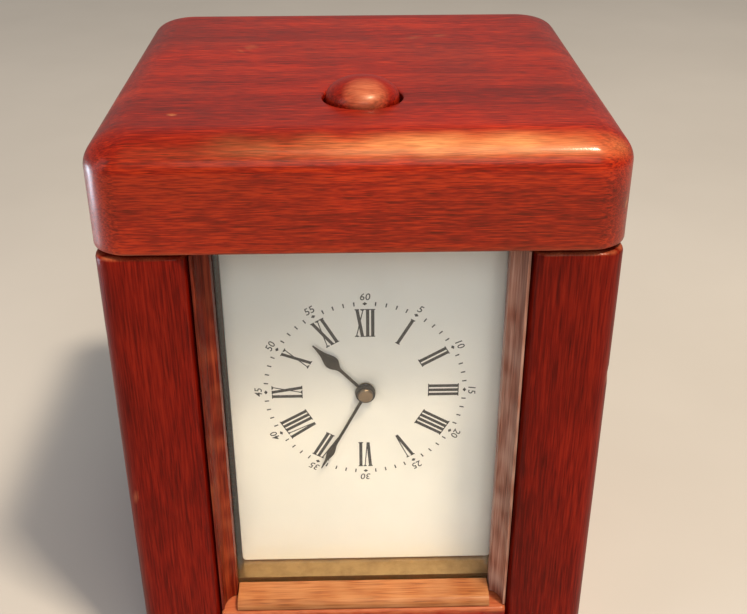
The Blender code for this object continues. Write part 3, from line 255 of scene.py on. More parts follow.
brass = metal("old_brass", (0.74, 0.50, 0.20), 0.30, "X", (0.36, 0.22, 0.08))
bed_brass = metal("bed_brass", (0.47, 0.32, 0.15), 0.34, "X", (0.24, 0.15, 0.07), 0.6)
wheel_brass = metal("wheel_brass", (0.80, 0.60, 0.27), 0.24, "Z", (0.45, 0.30, 0.12), 0.25)
steel = metal("polished_steel", (0.52, 0.52, 0.54), 0.26, "Y", (0.22, 0.19, 0.16), 0.3)
nut_bronze = metal("nut_bronze", (0.30, 0.21, 0.13), 0.28, "X", (0.10, 0.07, 0.05), 0.6)
bell_metal = metal("bell_metal", (0.72, 0.62, 0.36), 0.20, "Z", (0.42, 0.32, 0.16), 0.25)


def enamel():
    """White vitreous enamel with a faint ripple and cream tone."""
    made, tree, shader = material(
        "white_enamel", Coat_Weight=0.5, Coat_Roughness=0.08, Specular_IOR_Level=0.4
    )
    coords = put(tree, "ShaderNodeTexCoord").outputs["Object"]
    cloud = grain_noise(tree, coords, [28.0] * 3, 4.0, 0.6)
    speck = grain_noise(tree, coords, [1500.0] * 3, 2.0, 0.6)
    colour = ramp(tree, cloud, [(0.35, (0.75, 0.72, 0.68)), (0.65, (0.82, 0.78, 0.73))])
    dust = ramp(tree, speck, [(0.24, grey(0.72)), (0.32, grey(1.0))])
    tree.links.new(blend(tree, "MULTIPLY", 0.5, colour, dust), shader.inputs["Base Color"])
    tree.links.new(calc(tree, "ADD", 0.24, calc(tree, "MULTIPLY", cloud, 0.14)), shader.inputs["Roughness"])
    bump(tree, shader, cloud, 0.15, 0.0003)
    return made


def printed():
    """Black fired ink, a little worn."""
    made, tree, shader = material("dial_ink", Specular_IOR_Level=0.3)
    coords = put(tree, "ShaderNodeTexCoord").outputs["Object"]
    worn = grain_noise(tree, coords, [2600.0] * 3, 3.0, 0.6)
    colour = ramp(tree, worn, [(0.35, (0.012, 0.012, 0.014)), (0.75, (0.055, 0.05, 0.05))])
    tree.links.new(colour, shader.inputs["Base Color"])
    tree.links.new(calc(tree, "ADD", 0.3, calc(tree, "MULTIPLY", worn, 0.2)), shader.inputs["Roughness"])
    return made


def blued():
    """Blued steel gone nearly black."""
    made, tree, shader = material("blued_steel", Metallic=0.85)
    coords = put(tree, "ShaderNodeTexCoord").outputs["Object"]
    cloud = grain_noise(tree, coords, [420.0] * 3, 4.0, 0.6)
    colour = ramp(tree, cloud, [(0.35, (0.012, 0.011, 0.012)), (0.7, (0.055, 0.045, 0.035))])
    tree.links.new(colour, shader.inputs["Base Color"])
    tree.links.new(calc(tree, "ADD", 0.22, calc(tree, "MULTIPLY", cloud, 0.2)), shader.inputs["Roughness"])
    return made


def clear_glass():
    """Clear glass that lets lamps through, with a faint film of dust."""
    made, tree, shader = material("bevelled_glass", Transmission_Weight=1.0, IOR=1.5)
    shader.inputs["Base Color"].default_value = (0.985, 0.995, 0.985, 1.0)
    coords = put(tree, "ShaderNodeTexCoord").outputs["Object"]
    film = grain_noise(tree, coords, [90.0] * 3, 4.0, 0.6)
    tree.links.new(ramp(tree, film, [(0.4, grey(0.0)), (0.8, grey(0.05))]), shader.inputs["Roughness"])
    path = put(tree, "ShaderNodeLightPath")
    clear = put(tree, "ShaderNodeBsdfTransparent", {"Color": (0.93, 0.95, 0.93, 1.0)})
    mix = put(tree, "ShaderNodeMixShader")
    out = tree.nodes["Material Output"]
    tree.links.new(path.outputs["Is Shadow Ray"], mix.inputs[0])
    tree.links.new(shader.outputs[0], mix.inputs[1])
    tree.links.new(clear.outputs[0], mix.inputs[2])
    tree.links.new(mix.outputs[0], out.inputs["Surface"])
    return made


white_enamel = enamel()
ink = printed()
blued_steel = blued()
glass = clear_glass()

# ---------------------------------------------------------------- mesh helpers


def piece(name, shape, finish, body, replaces=(), sharp=38.0):
    """A named object from a bmesh that rides on a body."""
    bmesh.ops.recalc_face_normals(shape, faces=shape.faces)
    mesh = bpy.data.meshes.new(name)
    shape.to_mesh(mesh)
    shape.free()
    for face in mesh.polygons:
        face.use_smooth = True
    mesh.set_sharp_from_angle(angle=math.radians(sharp))
    mesh.materials.append(finish)
    made = bpy.data.objects.new(name, mesh)
    SCENE.collection.objects.link(made)
    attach(made, body)
    if replaces:
        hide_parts(*replaces)
    return made


def loft(rings, looped=False):
    """A skin through rings of equal length, capped or, when looped, joined from last to first."""
    shape = bmesh.new()
    rows = [[shape.verts.new(point) for point in ring] for ring in rings]
    count = len(rows[0])
    pairs = list(zip(rows, rows[1:]))
    if looped:
        pairs.append((rows[-1], rows[0]))
    for lower, upper in pairs:
        for i in range(count):
            j = (i + 1) % count
            shape.faces.new((lower[i], lower[j], upper[j], upper[i]))
    if not looped:
        shape.faces.new(list(reversed(rows[0])))
        shape.faces.new(rows[-1])
    return shape


def plan(low, high, radii, side_steps, corner_steps):
    """
    A rectangle with round corners, every side in the same steps.
    radii go (+x+y), (-x+y), (-x-y), (+x-y).
    """
    corners = []
    for (sx, sy, first), radius in zip(((1, 1, 0), (-1, 1, 90), (-1, -1, 180), (1, -1, 270)), radii):
        cx = (high[0] - radius) if sx > 0 else (low[0] + radius)
        cy = (high[1] - radius) if sy > 0 else (low[1] + radius)
        corner = []
        for i in range(corner_steps + 1):
            turn = math.radians(first + 90 * i / corner_steps)
            corner.append(Vector((cx + radius * math.cos(turn), cy + radius * math.sin(turn))))
        corners.append(corner)
    points = []
    for corner, following in zip(corners, corners[1:] + corners[:1]):
        points += corner
        for i in range(1, side_steps):
            points.append(corner[-1].lerp(following[0], i / side_steps))
    return points


def raised(outline, z):
    """A plan outline at a height."""
    return [Vector((x, y, z)) for x, y in outline]


def wear(made, amount):
    """Stores the wear of each vertex, and on some pieces painted light and shade, from 0 to 1, for the finish
    to read.
    """
    layer = made.data.attributes.new("wear", "FLOAT", "POINT")
    for i, vertex in enumerate(made.data.vertices):
        layer.data[i].value = max(0.0, min(1.0, amount(vertex.co)))


def near(point, at, reach):
    """1 at a point and 0 beyond reach."""
    away = (Vector(point) - Vector(at)).length / reach
    return max(0.0, 1.0 - away * away)


def wander(point, scale, seed=0.0):
    """Smooth noise from -1 to 1."""
    return noise.noise(Vector(point) / scale + Vector((seed, seed * 1.7, seed * 0.6)))


# ---------------------------------------------------------------- lid and button

STEM_GAP = 0.08 * MM
button_low, button_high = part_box("push_button")
BUTTON_AT = Vector(((button_low.x + button_high.x) / 2, (button_low.y + button_high.y) / 2, 0.0))
BUTTON_R = (button_high.x - button_low.x) / 2
STEM_R = 2.4 * MM
lid_low, lid_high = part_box("lid")
LID_RADIUS = 8.7 * MM
LID_ROUND_IN = 10.0 * MM
LID_ROUND_DOWN = 7.4 * MM
WELL_R = BUTTON_R + 0.8 * MM
WELL_DEPTH = 9.2 * MM
UNDER_WELL_R = 6.5 * MM
UNDER_WELL_DEPTH = 5.5 * MM
WELL_LIP = 0.6 * MM
UNDER_LIP = 0.3 * MM
LID_FOOT_ROUND = 0.7 * MM
QUARTER = (0, 30, 60, 90)
SIDE_STEPS = 64
CORNER_STEPS = 14


def lid_outline(inset):
    """The lid's plan drawn in by inset, its corners tightening less than its sides."""
    radius = LID_RADIUS - 0.45 * inset
    low = (lid_low.x + inset, lid_low.y + inset)
    high = (lid_high.x - inset, lid_high.y - inset)
    return plan(low, high, [radius] * 4, SIDE_STEPS, CORNER_STEPS)


rim = lid_outline(0.0)
well_turns = [math.atan2(y - BUTTON_AT.y, x - BUTTON_AT.x) for x, y in rim]


def well_ring(radius, z):
    """A circle round the button whose points match those of the lid's outline."""
    return [
        Vector((BUTTON_AT.x + radius * math.cos(turn), BUTTON_AT.y + radius * math.sin(turn), z))
        for turn in well_turns
    ]


LID_DINGS = [
    # place, reach, depth
    ((58.7, -48.8, 134.5), 1.3, 0.60),
    ((57.2, -52.6, 136.6), 0.9, 0.30),
    ((-40.4, -38.7, 152.3), 0.8, 0.25),
    ((30.0, 57.0, 140.0), 1.3, 0.20),
    ((-58.7, 12.0, 131.0), 1.4, 0.25),
]
LID_SCRATCHES = [
    # first end, last end, half width
    ((-31.0, 10.0, 152.3), (-26.0, 17.0, 152.3), 0.9),
    ((12.0, 22.0, 152.3), (26.0, 26.0, 152.3), 0.7),
]


def off_line(point, first, last):
    """Distance of a point from a line between two points."""
    along = last - first
    t = max(0.0, min(1.0, (point - first).dot(along) / along.dot(along)))
    return (point - first - along * t).length


def lid_dent(point):
    """How deep the lid is dented at a point."""
    depth = 0.035 * MM * (0.5 + 0.5 * wander(point, 9.0 * MM))
    for at, reach, deep in LID_DINGS:
        depth = max(depth, near(point, Vector(at) * MM, reach * MM) * deep * MM)
    return depth


rings = [
    well_ring(STEM_R + STEM_GAP, lid_low.z + UNDER_WELL_DEPTH),
    well_ring(UNDER_WELL_R, lid_low.z + UNDER_WELL_DEPTH),
    well_ring(UNDER_WELL_R, lid_low.z + UNDER_LIP),
    well_ring(UNDER_WELL_R + UNDER_LIP, lid_low.z),
]
under = raised(lid_outline(0.9 * MM), lid_low.z)
for t in (0.35, 0.7):
    rings.append([a.lerp(b, t) for a, b in zip(rings[3], under)])
rings.append(raised(lid_outline(2.6 * MM), lid_low.z))
for turn in QUARTER:
    swing = math.radians(turn)
    inset = LID_FOOT_ROUND * (1 - math.sin(swing))
    rings.append(raised(lid_outline(inset), lid_low.z + LID_FOOT_ROUND * (1 - math.cos(swing))))
wall_low = lid_low.z + LID_FOOT_ROUND
wall_high = lid_high.z - LID_ROUND_DOWN
for i in range(1, 15):
    rings.append(raised(rim, wall_low + (wall_high - wall_low) * i / 14))
for i in range(1, 17):
    swing = math.radians(90 * i / 16)
    inset = LID_ROUND_IN * (1 - math.cos(swing))
    rings.append(raised(lid_outline(inset), wall_high + LID_ROUND_DOWN * math.sin(swing)))
lip = well_ring(WELL_R + WELL_LIP, lid_high.z)
shoulder = rings[-1]
for i in range(1, 30):
    rings.append([a.lerp(b, i / 30) for a, b in zip(shoulder, lip)])
for turn in QUARTER:
    swing = math.radians(turn)
    reach = WELL_R + WELL_LIP * (1 - math.sin(swing))
    rings.append(well_ring(reach, lid_high.z - WELL_LIP * (1 - math.cos(swing))))
for i in range(1, 6):
    rings.append(well_ring(WELL_R, lid_high.z - WELL_LIP - (WELL_DEPTH - WELL_LIP) * i / 5))
rings.append(well_ring(STEM_R + STEM_GAP, lid_high.z - WELL_DEPTH))
shape = loft(rings, looped=True)
shape.normal_update()
for vertex in shape.verts:
    from_well = (vertex.co.xy - BUTTON_AT.xy).length
    if vertex.co.z > lid_low.z + 0.8 * MM and from_well > WELL_R + 0.7 * MM:
        if vertex.co.z > lid_high.z - 0.2 * MM:
            inward = Vector((0.0, 0.0, -1.0))
        else:
            heart = Vector((0.0, 0.0, wall_high * 0.5 + lid_low.z * 0.5))
            inward = (heart - vertex.co).normalized()
        vertex.co += inward * lid_dent(vertex.co)
lid = piece("lid_cap", shape, lid_wood, "lid", ["lid"])

# painted highlight: a paler band along the front of the rounded edge, strongest right of centre, standing in
# for the lamp's golden sheen there
PAINTED_SHEEN_IN = 3.6 * MM
PAINTED_SHEEN_DOWN = 2.2 * MM
PAINTED_SHEEN_REACH = 4.2 * MM
PAINTED_SHEEN_X = 26.0 * MM
PAINTED_SHEEN_HALF = 62.0 * MM
FOOT_WEAR_IN = 2.0 * MM


def inside(point, low, high):
    """How far a point is from the nearest upright face of a box."""
    return min(point.x - low.x, high.x - point.x, point.y - low.y, high.y - point.y)


def lid_wear(point):
    """How bare the lid is: dings, scratches and the lower edge, with a painted highlight along the front of
    the rounded edge.
    """
    worn = 0.0
    for at, reach, _ in LID_DINGS:
        worn = max(worn, 0.8 * near(point, Vector(at) * MM, reach * MM))
    for first, last, half in LID_SCRATCHES:
        away = off_line(point, Vector(first) * MM, Vector(last) * MM)
        worn = max(worn, 0.16 * (1.0 - away / (half * MM)))
    edge = max(0.0, 1.0 - abs(point.z - lid_low.z) / (0.8 * MM))
    if inside(point, lid_low, lid_high) > FOOT_WEAR_IN:
        edge = 0.0
    # painted highlight: paler along a line just behind the front of the rounded edge, in patches
    sheen_line = Vector((point.x, lid_low.y + PAINTED_SHEEN_IN, lid_high.z - PAINTED_SHEEN_DOWN))
    painted_sheen = max(0.0, 1.0 - (point - sheen_line).length / PAINTED_SHEEN_REACH)
    painted_sheen *= max(0.0, 1.0 - abs(point.x - PAINTED_SHEEN_X) / PAINTED_SHEEN_HALF)
    worn = max(worn, 1.1 * painted_sheen * (0.7 + 0.8 * wander(point, 7.0 * MM)))
    return max(worn, 0.22 * edge * (0.6 + wander(point, 6.0 * MM)))


wear(lid, lid_wear)

DOME_STEPS = 20
BUTTON_RINGS = 72
rise = button_high.z - lid_high.z
skirt = lid_high.z - 1.8 * MM
profile = [(0.6 * MM, button_high.z)]
for i in range(1, DOME_STEPS + 1):
    swing = math.radians(90 * i / DOME_STEPS)
    profile.append((BUTTON_R * math.sin(swing), lid_high.z + rise * math.cos(swing)))
profile += [(BUTTON_R, skirt + 0.5 * MM), (BUTTON_R - 0.15 * MM, skirt + 0.12 * MM)]
profile += [(BUTTON_R - 0.5 * MM, skirt)]
profile += [(STEM_R + 0.4 * MM, skirt), (STEM_R, skirt - 0.4 * MM), (STEM_R, button_low.z + 0.6 * MM)]
profile += [(STEM_R - 0.6 * MM, button_low.z)]


def turned(profile, at, steps, up="Z"):
    """A closed skin turned round an upright or fore-and-aft axis. Profile points are (radius, height)."""
    rings = []
    for radius, height in profile:
        ring = []
        for i in range(steps):
            turn = 2 * math.pi * i / steps
            flat = (radius * math.cos(turn), radius * math.sin(turn))
            if up == "Z":
                ring.append(Vector((at[0] + flat[0], at[1] + flat[1], height)))
            else:
                ring.append(Vector((at[0] + flat[0], height, at[2] + flat[1])))
        rings.append(ring)
    return loft(rings)


shape = turned(profile, BUTTON_AT, BUTTON_RINGS)
for vertex in shape.verts:
    if vertex.co.z > lid_high.z:
        vertex.co.z -= 0.02 * MM * (1 + wander(vertex.co, 2.5 * MM))
button = piece("button_dome", shape, button_wood, "button", ["push_button"], 50.0)
# painted reflection: a paler patch on the lower front of the dome stands in for the pale glare there
glare_spot = Vector((BUTTON_AT.x + 0.6 * MM, BUTTON_AT.y - 5.6 * MM, button_high.z - 2.2 * MM))
GLARE_REACH = 5.6 * MM
wear(button, lambda point: 0.62 * near(point, glare_spot, GLARE_REACH))

# ---------------------------------------------------------------- case

POST_OUTER_R = 4.6 * MM
POST_INNER_R = 3.0 * MM
POST_END_ROUND = 0.7 * MM
plinth_low, plinth_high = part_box("base_plinth")
PLINTH_RADIUS = 8.7 * MM
plinth_profile = ((0.0, 0.8), (0.4, 0.25), (0.9, 0.0), (4.0, 0.0), (8.0, 0.0), (12.5, 0.0))
plinth_profile += ((13.4, 0.25), (14.1, 0.9), (14.6, 1.7), (14.9, 2.4), (15.0, 3.0))
rings = []
for up, inset in plinth_profile:
    radius = PLINTH_RADIUS - inset * MM
    low = (plinth_low.x + inset * MM, plinth_low.y + inset * MM)
    high = (plinth_high.x - inset * MM, plinth_high.y - inset * MM)
    rings.append(raised(plan(low, high, [radius] * 4, 40, 10), plinth_low.z + up * MM))
plinth = piece("plinth_board", loft(rings), rail_wood, "case", ["base_plinth"], 60.0)


def plinth_wear(point):
    """How bare the plinth is: its upper edge, in patches."""
    edge = max(0.0, 1.0 - abs(point.z - plinth_high.z) / (2.0 * MM))
    return 0.5 * edge * (0.7 + wander(point, 5.0 * MM))


wear(plinth, plinth_wear)

CAP_IN = 1.4 * MM
FACE_UNEVEN = 0.05 * MM
LEAST_R = 0.05 * MM


def board(name, node, radii, finish, ends, rows, seed):
    """An upright timber of the case: rounded in plan, eased at both ends, its faces a hair uneven."""
    low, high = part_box(node)
    rings = [(ends + CAP_IN, low.z)]
    for i in range(4):
        swing = math.radians(30 * i)
        inset = ends * (1 - math.sin(swing))
        rings.append((inset, low.z + ends * (1 - math.cos(swing))))
    for i in range(1, rows):
        rings.append((0.0, low.z + ends + (high.z - low.z - 2 * ends) * i / rows))
    for i in range(4):
        swing = math.radians(90 - 30 * i)
        inset = ends * (1 - math.sin(swing))
        rings.append((inset, high.z - ends * (1 - math.cos(swing))))
    rings.append((ends + CAP_IN, high.z))
    made = []
    for inset, z in rings:
        corner = [max(radius - inset, LEAST_R) for radius in radii]
        outline = plan((low.x + inset, low.y + inset), (high.x - inset, high.y - inset), corner, 10, 6)
        made.append(raised(outline, z))
    shape = loft(made)
    centre = Vector(((low.x + high.x) / 2, (low.y + high.y) / 2, 0.0))
    for vertex in shape.verts:
        inward = centre - vertex.co
        inward.z = 0.0
        vertex.co += inward.normalized() * FACE_UNEVEN * (0.5 + 0.5 * wander(vertex.co, 12 * MM, seed))
    return piece(name, shape, finish, "case", [node])


POST_DINGS = [
    # place, reach, depth
    ((-57.6, -52.5, 104.0), 1.3, 0.30),
    ((57.7, -53.0, 93.0), 1.1, 0.25),
    ((-56.0, -55.6, 60.0), 1.2, 0.2),
]
POST_FACE_R = 0.3 * MM
for end, sy in (("front", -1), ("back", 1)):
    for side, sx in (("left", -1), ("right", 1)):
        node = f"{end}_{side}_post"
        low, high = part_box(node)
        radii = []
        for px, py in ((1, 1), (-1, 1), (-1, -1), (1, -1)):
            if (px, py) == (sx, sy):
                radii.append(POST_OUTER_R)
            elif (px, py) == (-sx, sy):
                radii.append(POST_INNER_R)
            else:
                radii.append(POST_FACE_R)
        post = board(f"{node}_timber", node, radii, post_wood, POST_END_ROUND, 44, sx + 3 * sy)
        for vertex in post.data.vertices:
            for at, reach, deep in POST_DINGS:
                hit = near(vertex.co, Vector(at) * MM, reach * MM)
                vertex.co.x -= sx * hit * deep * MM

        def post_wear(point, low=low, high=high):
            """How bare a post is: the arris at its top, painted paler in patches as a highlight, and its worn
            dings.
            """
            worn = max(0.0, 0.8 - (high.z - point.z) / POST_END_ROUND)
            if inside(point, low, high) > POST_END_ROUND + 0.6 * MM:
                worn = 0.0
            worn *= 0.6 + 0.7 * wander(point, 4.0 * MM)
            for at, reach, _ in POST_DINGS:
                worn = max(worn, near(point, Vector(at) * MM, reach * MM))
            return worn

        wear(post, post_wear)

BOARD_R = 0.6 * MM
for side in ("left", "right"):
    node = f"{side}_side_panel"
    panel = board(f"{node}_board", node, [BOARD_R] * 4, panel_wood, BOARD_R, 24, 7.0)
    wear(panel, lambda point: 0.12 + 0.3 * wander(point, 16.0 * MM))


def bar(name, node, finish, round_r, body="case", seed=0.0, uneven=0.05):
    """A timber lying along X with eased edges."""
    low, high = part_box(node)
    rings = []
    stations = [(0.0, 0.6), (0.12, 0.3), (0.35, 0.1), (0.6, 0.0)]
    length = high.x - low.x
    places = [(low.x + a * MM, b * MM) for a, b in stations]
    places += [(low.x + length * i / 60, 0.0) for i in range(1, 60)]
    places += [(high.x - a * MM, b * MM) for a, b in reversed(stations)]
    for x, inset in places:
        corner = [max(round_r - inset * 0.5, LEAST_R)] * 4
        outline = plan((low.y + inset, low.z + inset), (high.y - inset, high.z - inset), corner, 8, 6)
        rings.append([Vector((x, y, z)) for y, z in outline])
    shape = loft(rings)
    for vertex in shape.verts:
        inward = Vector((0.0, (low.y + high.y) / 2 - vertex.co.y, (low.z + high.z) / 2 - vertex.co.z))
        vertex.co += inward.normalized() * uneven * MM * (0.5 + 0.5 * wander(vertex.co, 5 * MM, seed))
    return piece(name, shape, finish, body, [node])


rail = bar("front_rail_timber", "front_rail", rail_wood, 1.1 * MM, seed=2.0, uneven=0.12)
rail_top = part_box("front_rail")[1].z
# painted highlight: the rail is paler along its rounded top edge, in patches
wear(rail, lambda point: 1.25 - (rail_top - point.z) / (1.5 * MM) + 0.5 * wander(point, 2.2 * MM))
for node in ("back_bottom_rail", "back_top_rail"):
    made = bar(f"{node}_timber", node, panel_wood, BOARD_R, seed=5.0)
    wear(made, lambda point: 0.15 + 0.3 * wander(point, 14.0 * MM))
door = bar("door_board", "back_door", panel_wood, 0.7 * MM, "door", 6.0)
wear(door, lambda point: 0.10 + 0.3 * wander(point, 18.0 * MM))

# ---------------------------------------------------------------- glazing

MOULDING_UNEVEN = 0.04 * MM


def drawn(name, outline, low, high, axis, finish, node, rows, seed):
    """A moulding of one section drawn along an axis. outline holds (y, z) or (x, y) pairs."""
    count = len(outline)
    centre = Vector((sum(a for a, b in outline) / count, sum(b for a, b in outline) / count))
    rings = []
    for i in range(rows + 1):
        along = low + (high - low) * i / rows
        ring = []
        for a, b in outline:
            point = Vector((a, b))
            where = Vector((along, a, b)) if axis == "X" else Vector((a, b, along))
            dip = 0.5 + 0.5 * wander(where, 4 * MM, seed)
            point += (centre - point).normalized() * MOULDING_UNEVEN * dip
            ring.append(Vector((along, *point)) if axis == "X" else Vector((*point, along)))
        rings.append(ring)
    return piece(name, loft(rings), finish, "case", [node], 45.0)


def arc(centre, radius, first, last, steps):
    """Points on an elliptical arc, angles in degrees. radius is (along first, along second)."""
    points = []
    for i in range(steps + 1):
        turn = math.radians(first + (last - first) * i / steps)
        points.append((centre[0] + radius[0] * math.cos(turn), centre[1] + radius[1] * math.sin(turn)))
    return points


BEAD_LOOKS = (
    # side, its sign, finish, how bare; the left finish is a darker painted-shade copy, the right a paler
    # painted-lit copy with more bare wood
    ("left", -1, shaded_left_bead_wood, 0.05),
    ("right", 1, lit_right_bead_wood, 0.35),
)
BEAD_SHADE = 30.0 * MM
for side, sx, finish, bare in BEAD_LOOKS:
    node = f"{side}_glazing_bead"
    low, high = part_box(node)
    outer, inner = (high.x, low.x) if sx > 0 else (low.x, high.x)
    face = low.y
    hollow = []
    for i in range(13):
        turn = math.radians(90 * i / 12)
        x = outer - sx * (0.7 * MM + (abs(outer - inner) - 0.9 * MM) * (1 - math.cos(turn)))
        hollow.append((x, face + 0.2 * MM + (high.y - face - 2.2 * MM) * math.sin(turn)))
    outline = [(outer, high.y), (outer, face + 0.5 * MM), (outer - sx * 0.15 * MM, face + 0.1 * MM)]
    outline += hollow + [(inner, high.y)]
    bead = drawn(f"{node}_moulding", outline, low.z, high.z, "Z", finish, node, 90, sx)
    # painted shadow of the lid: the paler patches fade out over the top of each bead, leaving it darker there
    wear(bead, lambda point: bare + 0.6 * wander(point, 5.0 * MM) * min(1.0, (high.z - point.z) / BEAD_SHADE))

low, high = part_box("sill_bead")
crown = arc((low.y + 2.6 * MM, high.z - 1.9 * MM), (2.5 * MM, 1.8 * MM), 180, 90, 8)
outline = [(high.y, low.z), (high.y, high.z - 0.1 * MM)] + list(reversed(crown))
outline.append((low.y + 0.1 * MM, low.z))
sill = drawn("sill_moulding", outline, low.x, high.x, "X", sill_wood, "sill_bead", 80, 4.0)
wear(sill, lambda point: 0.4 + 0.7 * wander(point, 6.0 * MM))

GLASS_BEVEL = 3.0 * MM
GLASS_CORNER = 0.15 * MM
GLASS_ARRIS = 0.05 * MM
EDGE_SHARE = 0.45
low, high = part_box("front_glass")
thin = low.y + (high.y - low.y) * (1 - EDGE_SHARE)


def pane(inset, y):
    """The outline of the glass drawn in by inset, at one depth."""
    near_corner = (low.x + inset, low.z + inset)
    far_corner = (high.x - inset, high.z - inset)
    return [Vector((x, y, z)) for x, z in plan(near_corner, far_corner, [GLASS_CORNER] * 4, 4, 2)]


glass_rings = [pane(GLASS_ARRIS, high.y), pane(0.0, high.y - GLASS_ARRIS), pane(0.0, thin)]
glass_rings.append(pane(GLASS_BEVEL, low.y))
piece("front_pane", loft(glass_rings), glass, "case", ["front_glass"], 5.0)

# ---------------------------------------------------------------- dial

INK_T = 0.03 * MM
dial_low, dial_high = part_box("dial")
eye_low, eye_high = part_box("centre_arbor")
DIAL_AT = Vector(((eye_low.x + eye_high.x) / 2, 0.0, (eye_low.z + eye_high.z) / 2))
DIAL_HOLE_R = 2.1 * MM
DIAL_CORNER = 1.0 * MM
FACE = dial_low.y


def facing(point, y):
    """A point of the dial's own plane, at one depth."""
    return Vector((DIAL_AT.x + point[0], y, DIAL_AT.z + point[1]))


def dial_ring(inset, y):
    """The outline of the dial drawn in by inset, at one depth."""
    near_corner = (dial_low.x + inset, dial_low.z + inset)
    far_corner = (dial_high.x - inset, dial_high.z - inset)
    return [Vector((x, y, z)) for x, z in plan(near_corner, far_corner, [DIAL_CORNER] * 4, 10, 4)]


edge = dial_ring(0.0, FACE)
hole_turns = [math.atan2(point.z - DIAL_AT.z, point.x - DIAL_AT.x) for point in edge]


def dial_hole(radius, y):
    """A circle round the dial's centre whose points match those of its outline."""
    return [facing((radius * math.cos(turn), radius * math.sin(turn)), y) for turn in hole_turns]


rings = [dial_ring(0.0, dial_high.y), dial_ring(0.0, FACE + 0.3 * MM), dial_ring(0.1 * MM, FACE + 0.05 * MM)]
outer_ring = dial_ring(0.3 * MM, FACE)
rings.append(outer_ring)
inner_ring = dial_hole(DIAL_HOLE_R + 0.5 * MM, FACE)
for i in range(1, 8):
    rings.append([a.lerp(b, i / 8) for a, b in zip(outer_ring, inner_ring)])
rings += [inner_ring, dial_hole(DIAL_HOLE_R, FACE + 0.35 * MM), dial_hole(DIAL_HOLE_R, dial_high.y)]
piece("dial_plate", loft(rings, looped=True), white_enamel, "case", ["dial"], 60.0)


class Print:
    """Thin raised marks on the dial, drawn as flat outlines."""

    def __init__(self):
        self.shape = bmesh.new()

    def add(self, outline, turn=0.0, away=0.0):
        """A convex or simple outline, moved out from the centre and turned clockwise in degrees."""
        swing = -math.radians(turn)
        points = []
        for x, y in outline:
            y += away
            across = x * math.cos(swing) - y * math.sin(swing)
            up = x * math.sin(swing) + y * math.cos(swing)
            points.append((across, up))
        front = [self.shape.verts.new(facing(point, FACE - INK_T)) for point in points]
        back = [self.shape.verts.new(facing(point, FACE - 0.002 * MM)) for point in points]
        self.shape.faces.new(front)
        for i in range(len(front)):
            j = (i + 1) % len(front)
            self.shape.faces.new((front[j], front[i], back[i], back[j]))

    def done(self, name):
        """The marks as one piece."""
        return piece(name, self.shape, ink, "case", (), 20.0)


THICK = 0.80 * MM
THIN = 0.26 * MM
GAP = 0.43 * MM
SERIF_T = 0.22 * MM
SERIF_OUT = 0.22 * MM
FOOT_R = 15.7 * MM
HEAD_R = 23.4 * MM
WIDTHS = {"I": THICK, "V": 2.1 * MM, "X": 2.16 * MM}
NUMERALS = ["XII", "I", "II", "III", "IIII", "V", "VI", "VII", "VIII", "IX", "X", "XI"]


def stroke(foot, head, width):
    """A slanting stroke between the foot and head circles."""
    return [
        (foot - width / 2, FOOT_R + SERIF_T / 2), (foot + width / 2, FOOT_R + SERIF_T / 2),
        (head + width / 2, HEAD_R - SERIF_T / 2), (head - width / 2, HEAD_R - SERIF_T / 2),
    ]


def serif(centre, half, radius, inward):
    """A thin bar across the end of a stroke, with a small bracket towards the stroke."""
    step = SERIF_T * inward
    return [
        (centre - half, radius), (centre + half, radius), (centre + half, radius + step * 0.8),
        (centre + half * 0.45, radius + step * 1.9), (centre - half * 0.45, radius + step * 1.9),
        (centre - half, radius + step * 0.8),
    ]


numerals = Print()
for hour, letters in enumerate(NUMERALS):
    turn = 30.0 * hour
    total = sum(WIDTHS[letter] for letter in letters) + GAP * (len(letters) - 1)
    x = -total / 2
    for letter in letters:
        width = WIDTHS[letter]
        mid = x + width / 2
        if letter == "I":
            numerals.add(stroke(mid, mid, THICK), turn)
            numerals.add(serif(mid, THICK / 2 + SERIF_OUT, FOOT_R, 1), turn)
            numerals.add(serif(mid, THICK / 2 + SERIF_OUT, HEAD_R, -1), turn)
        elif letter == "V":
            numerals.add(stroke(mid, x + THICK * 0.55, THICK), turn)
            numerals.add(stroke(mid + THICK * 0.3, x + width - THIN, THIN), turn)
            numerals.add(serif(x + THICK * 0.55, THICK * 0.75, HEAD_R, -1), turn)
            numerals.add(serif(x + width - THIN, THICK * 0.5, HEAD_R, -1), turn)
        else:
            numerals.add(stroke(x + width - THICK * 0.55, x + THICK * 0.55, THICK), turn)
            numerals.add(stroke(x + THIN, x + width - THIN, THIN), turn)
            for side, radius, inward in ((0, FOOT_R, 1), (1, FOOT_R, 1), (0, HEAD_R, -1), (1, HEAD_R, -1)):
                at = x + THICK * 0.5 if side == 0 else x + width - THICK * 0.5
                numerals.add(serif(at, THICK * 0.68, radius, inward), turn)
        x += width + GAP
numerals.done("hour_numerals")

MINUTE_R = 24.85 * MM
half = 0.15 * MM
reach = 0.55 * MM
minute_bar = [(-half, -reach), (half, -reach), (half * 1.2, reach), (-half * 1.2, reach)]
diamond = [(-0.60 * MM, 0.0), (0.0, -0.45 * MM), (0.60 * MM, 0.0), (0.0, 0.45 * MM)]
marks = Print()
for minute in range(60):
    marks.add(minute_bar if minute % 5 else diamond, 6.0 * minute, MINUTE_R)
marks.done("minute_marks")

FIGURE_R = 26.8 * MM
FIGURE_H = 1.9 * MM
FIGURE_FULL = 0.73


def meshed(curve):
    """The mesh of a curve or text, which is then deleted."""
    holder = bpy.data.objects.new(curve.name, curve)
    SCENE.collection.objects.link(holder)
    bpy.context.view_layer.update()
    mesh = bpy.data.meshes.new_from_object(holder.evaluated_get(bpy.context.evaluated_depsgraph_get()))
    bpy.data.objects.remove(holder)
    bpy.data.curves.remove(curve)
    return mesh


def standing(y):
    """Stands a flat shape that lies in XY up in front of the dial."""
    return Matrix(((1, 0, 0, DIAL_AT.x), (0, 0, -1, y), (0, 1, 0, DIAL_AT.z), (0, 0, 0, 1)))


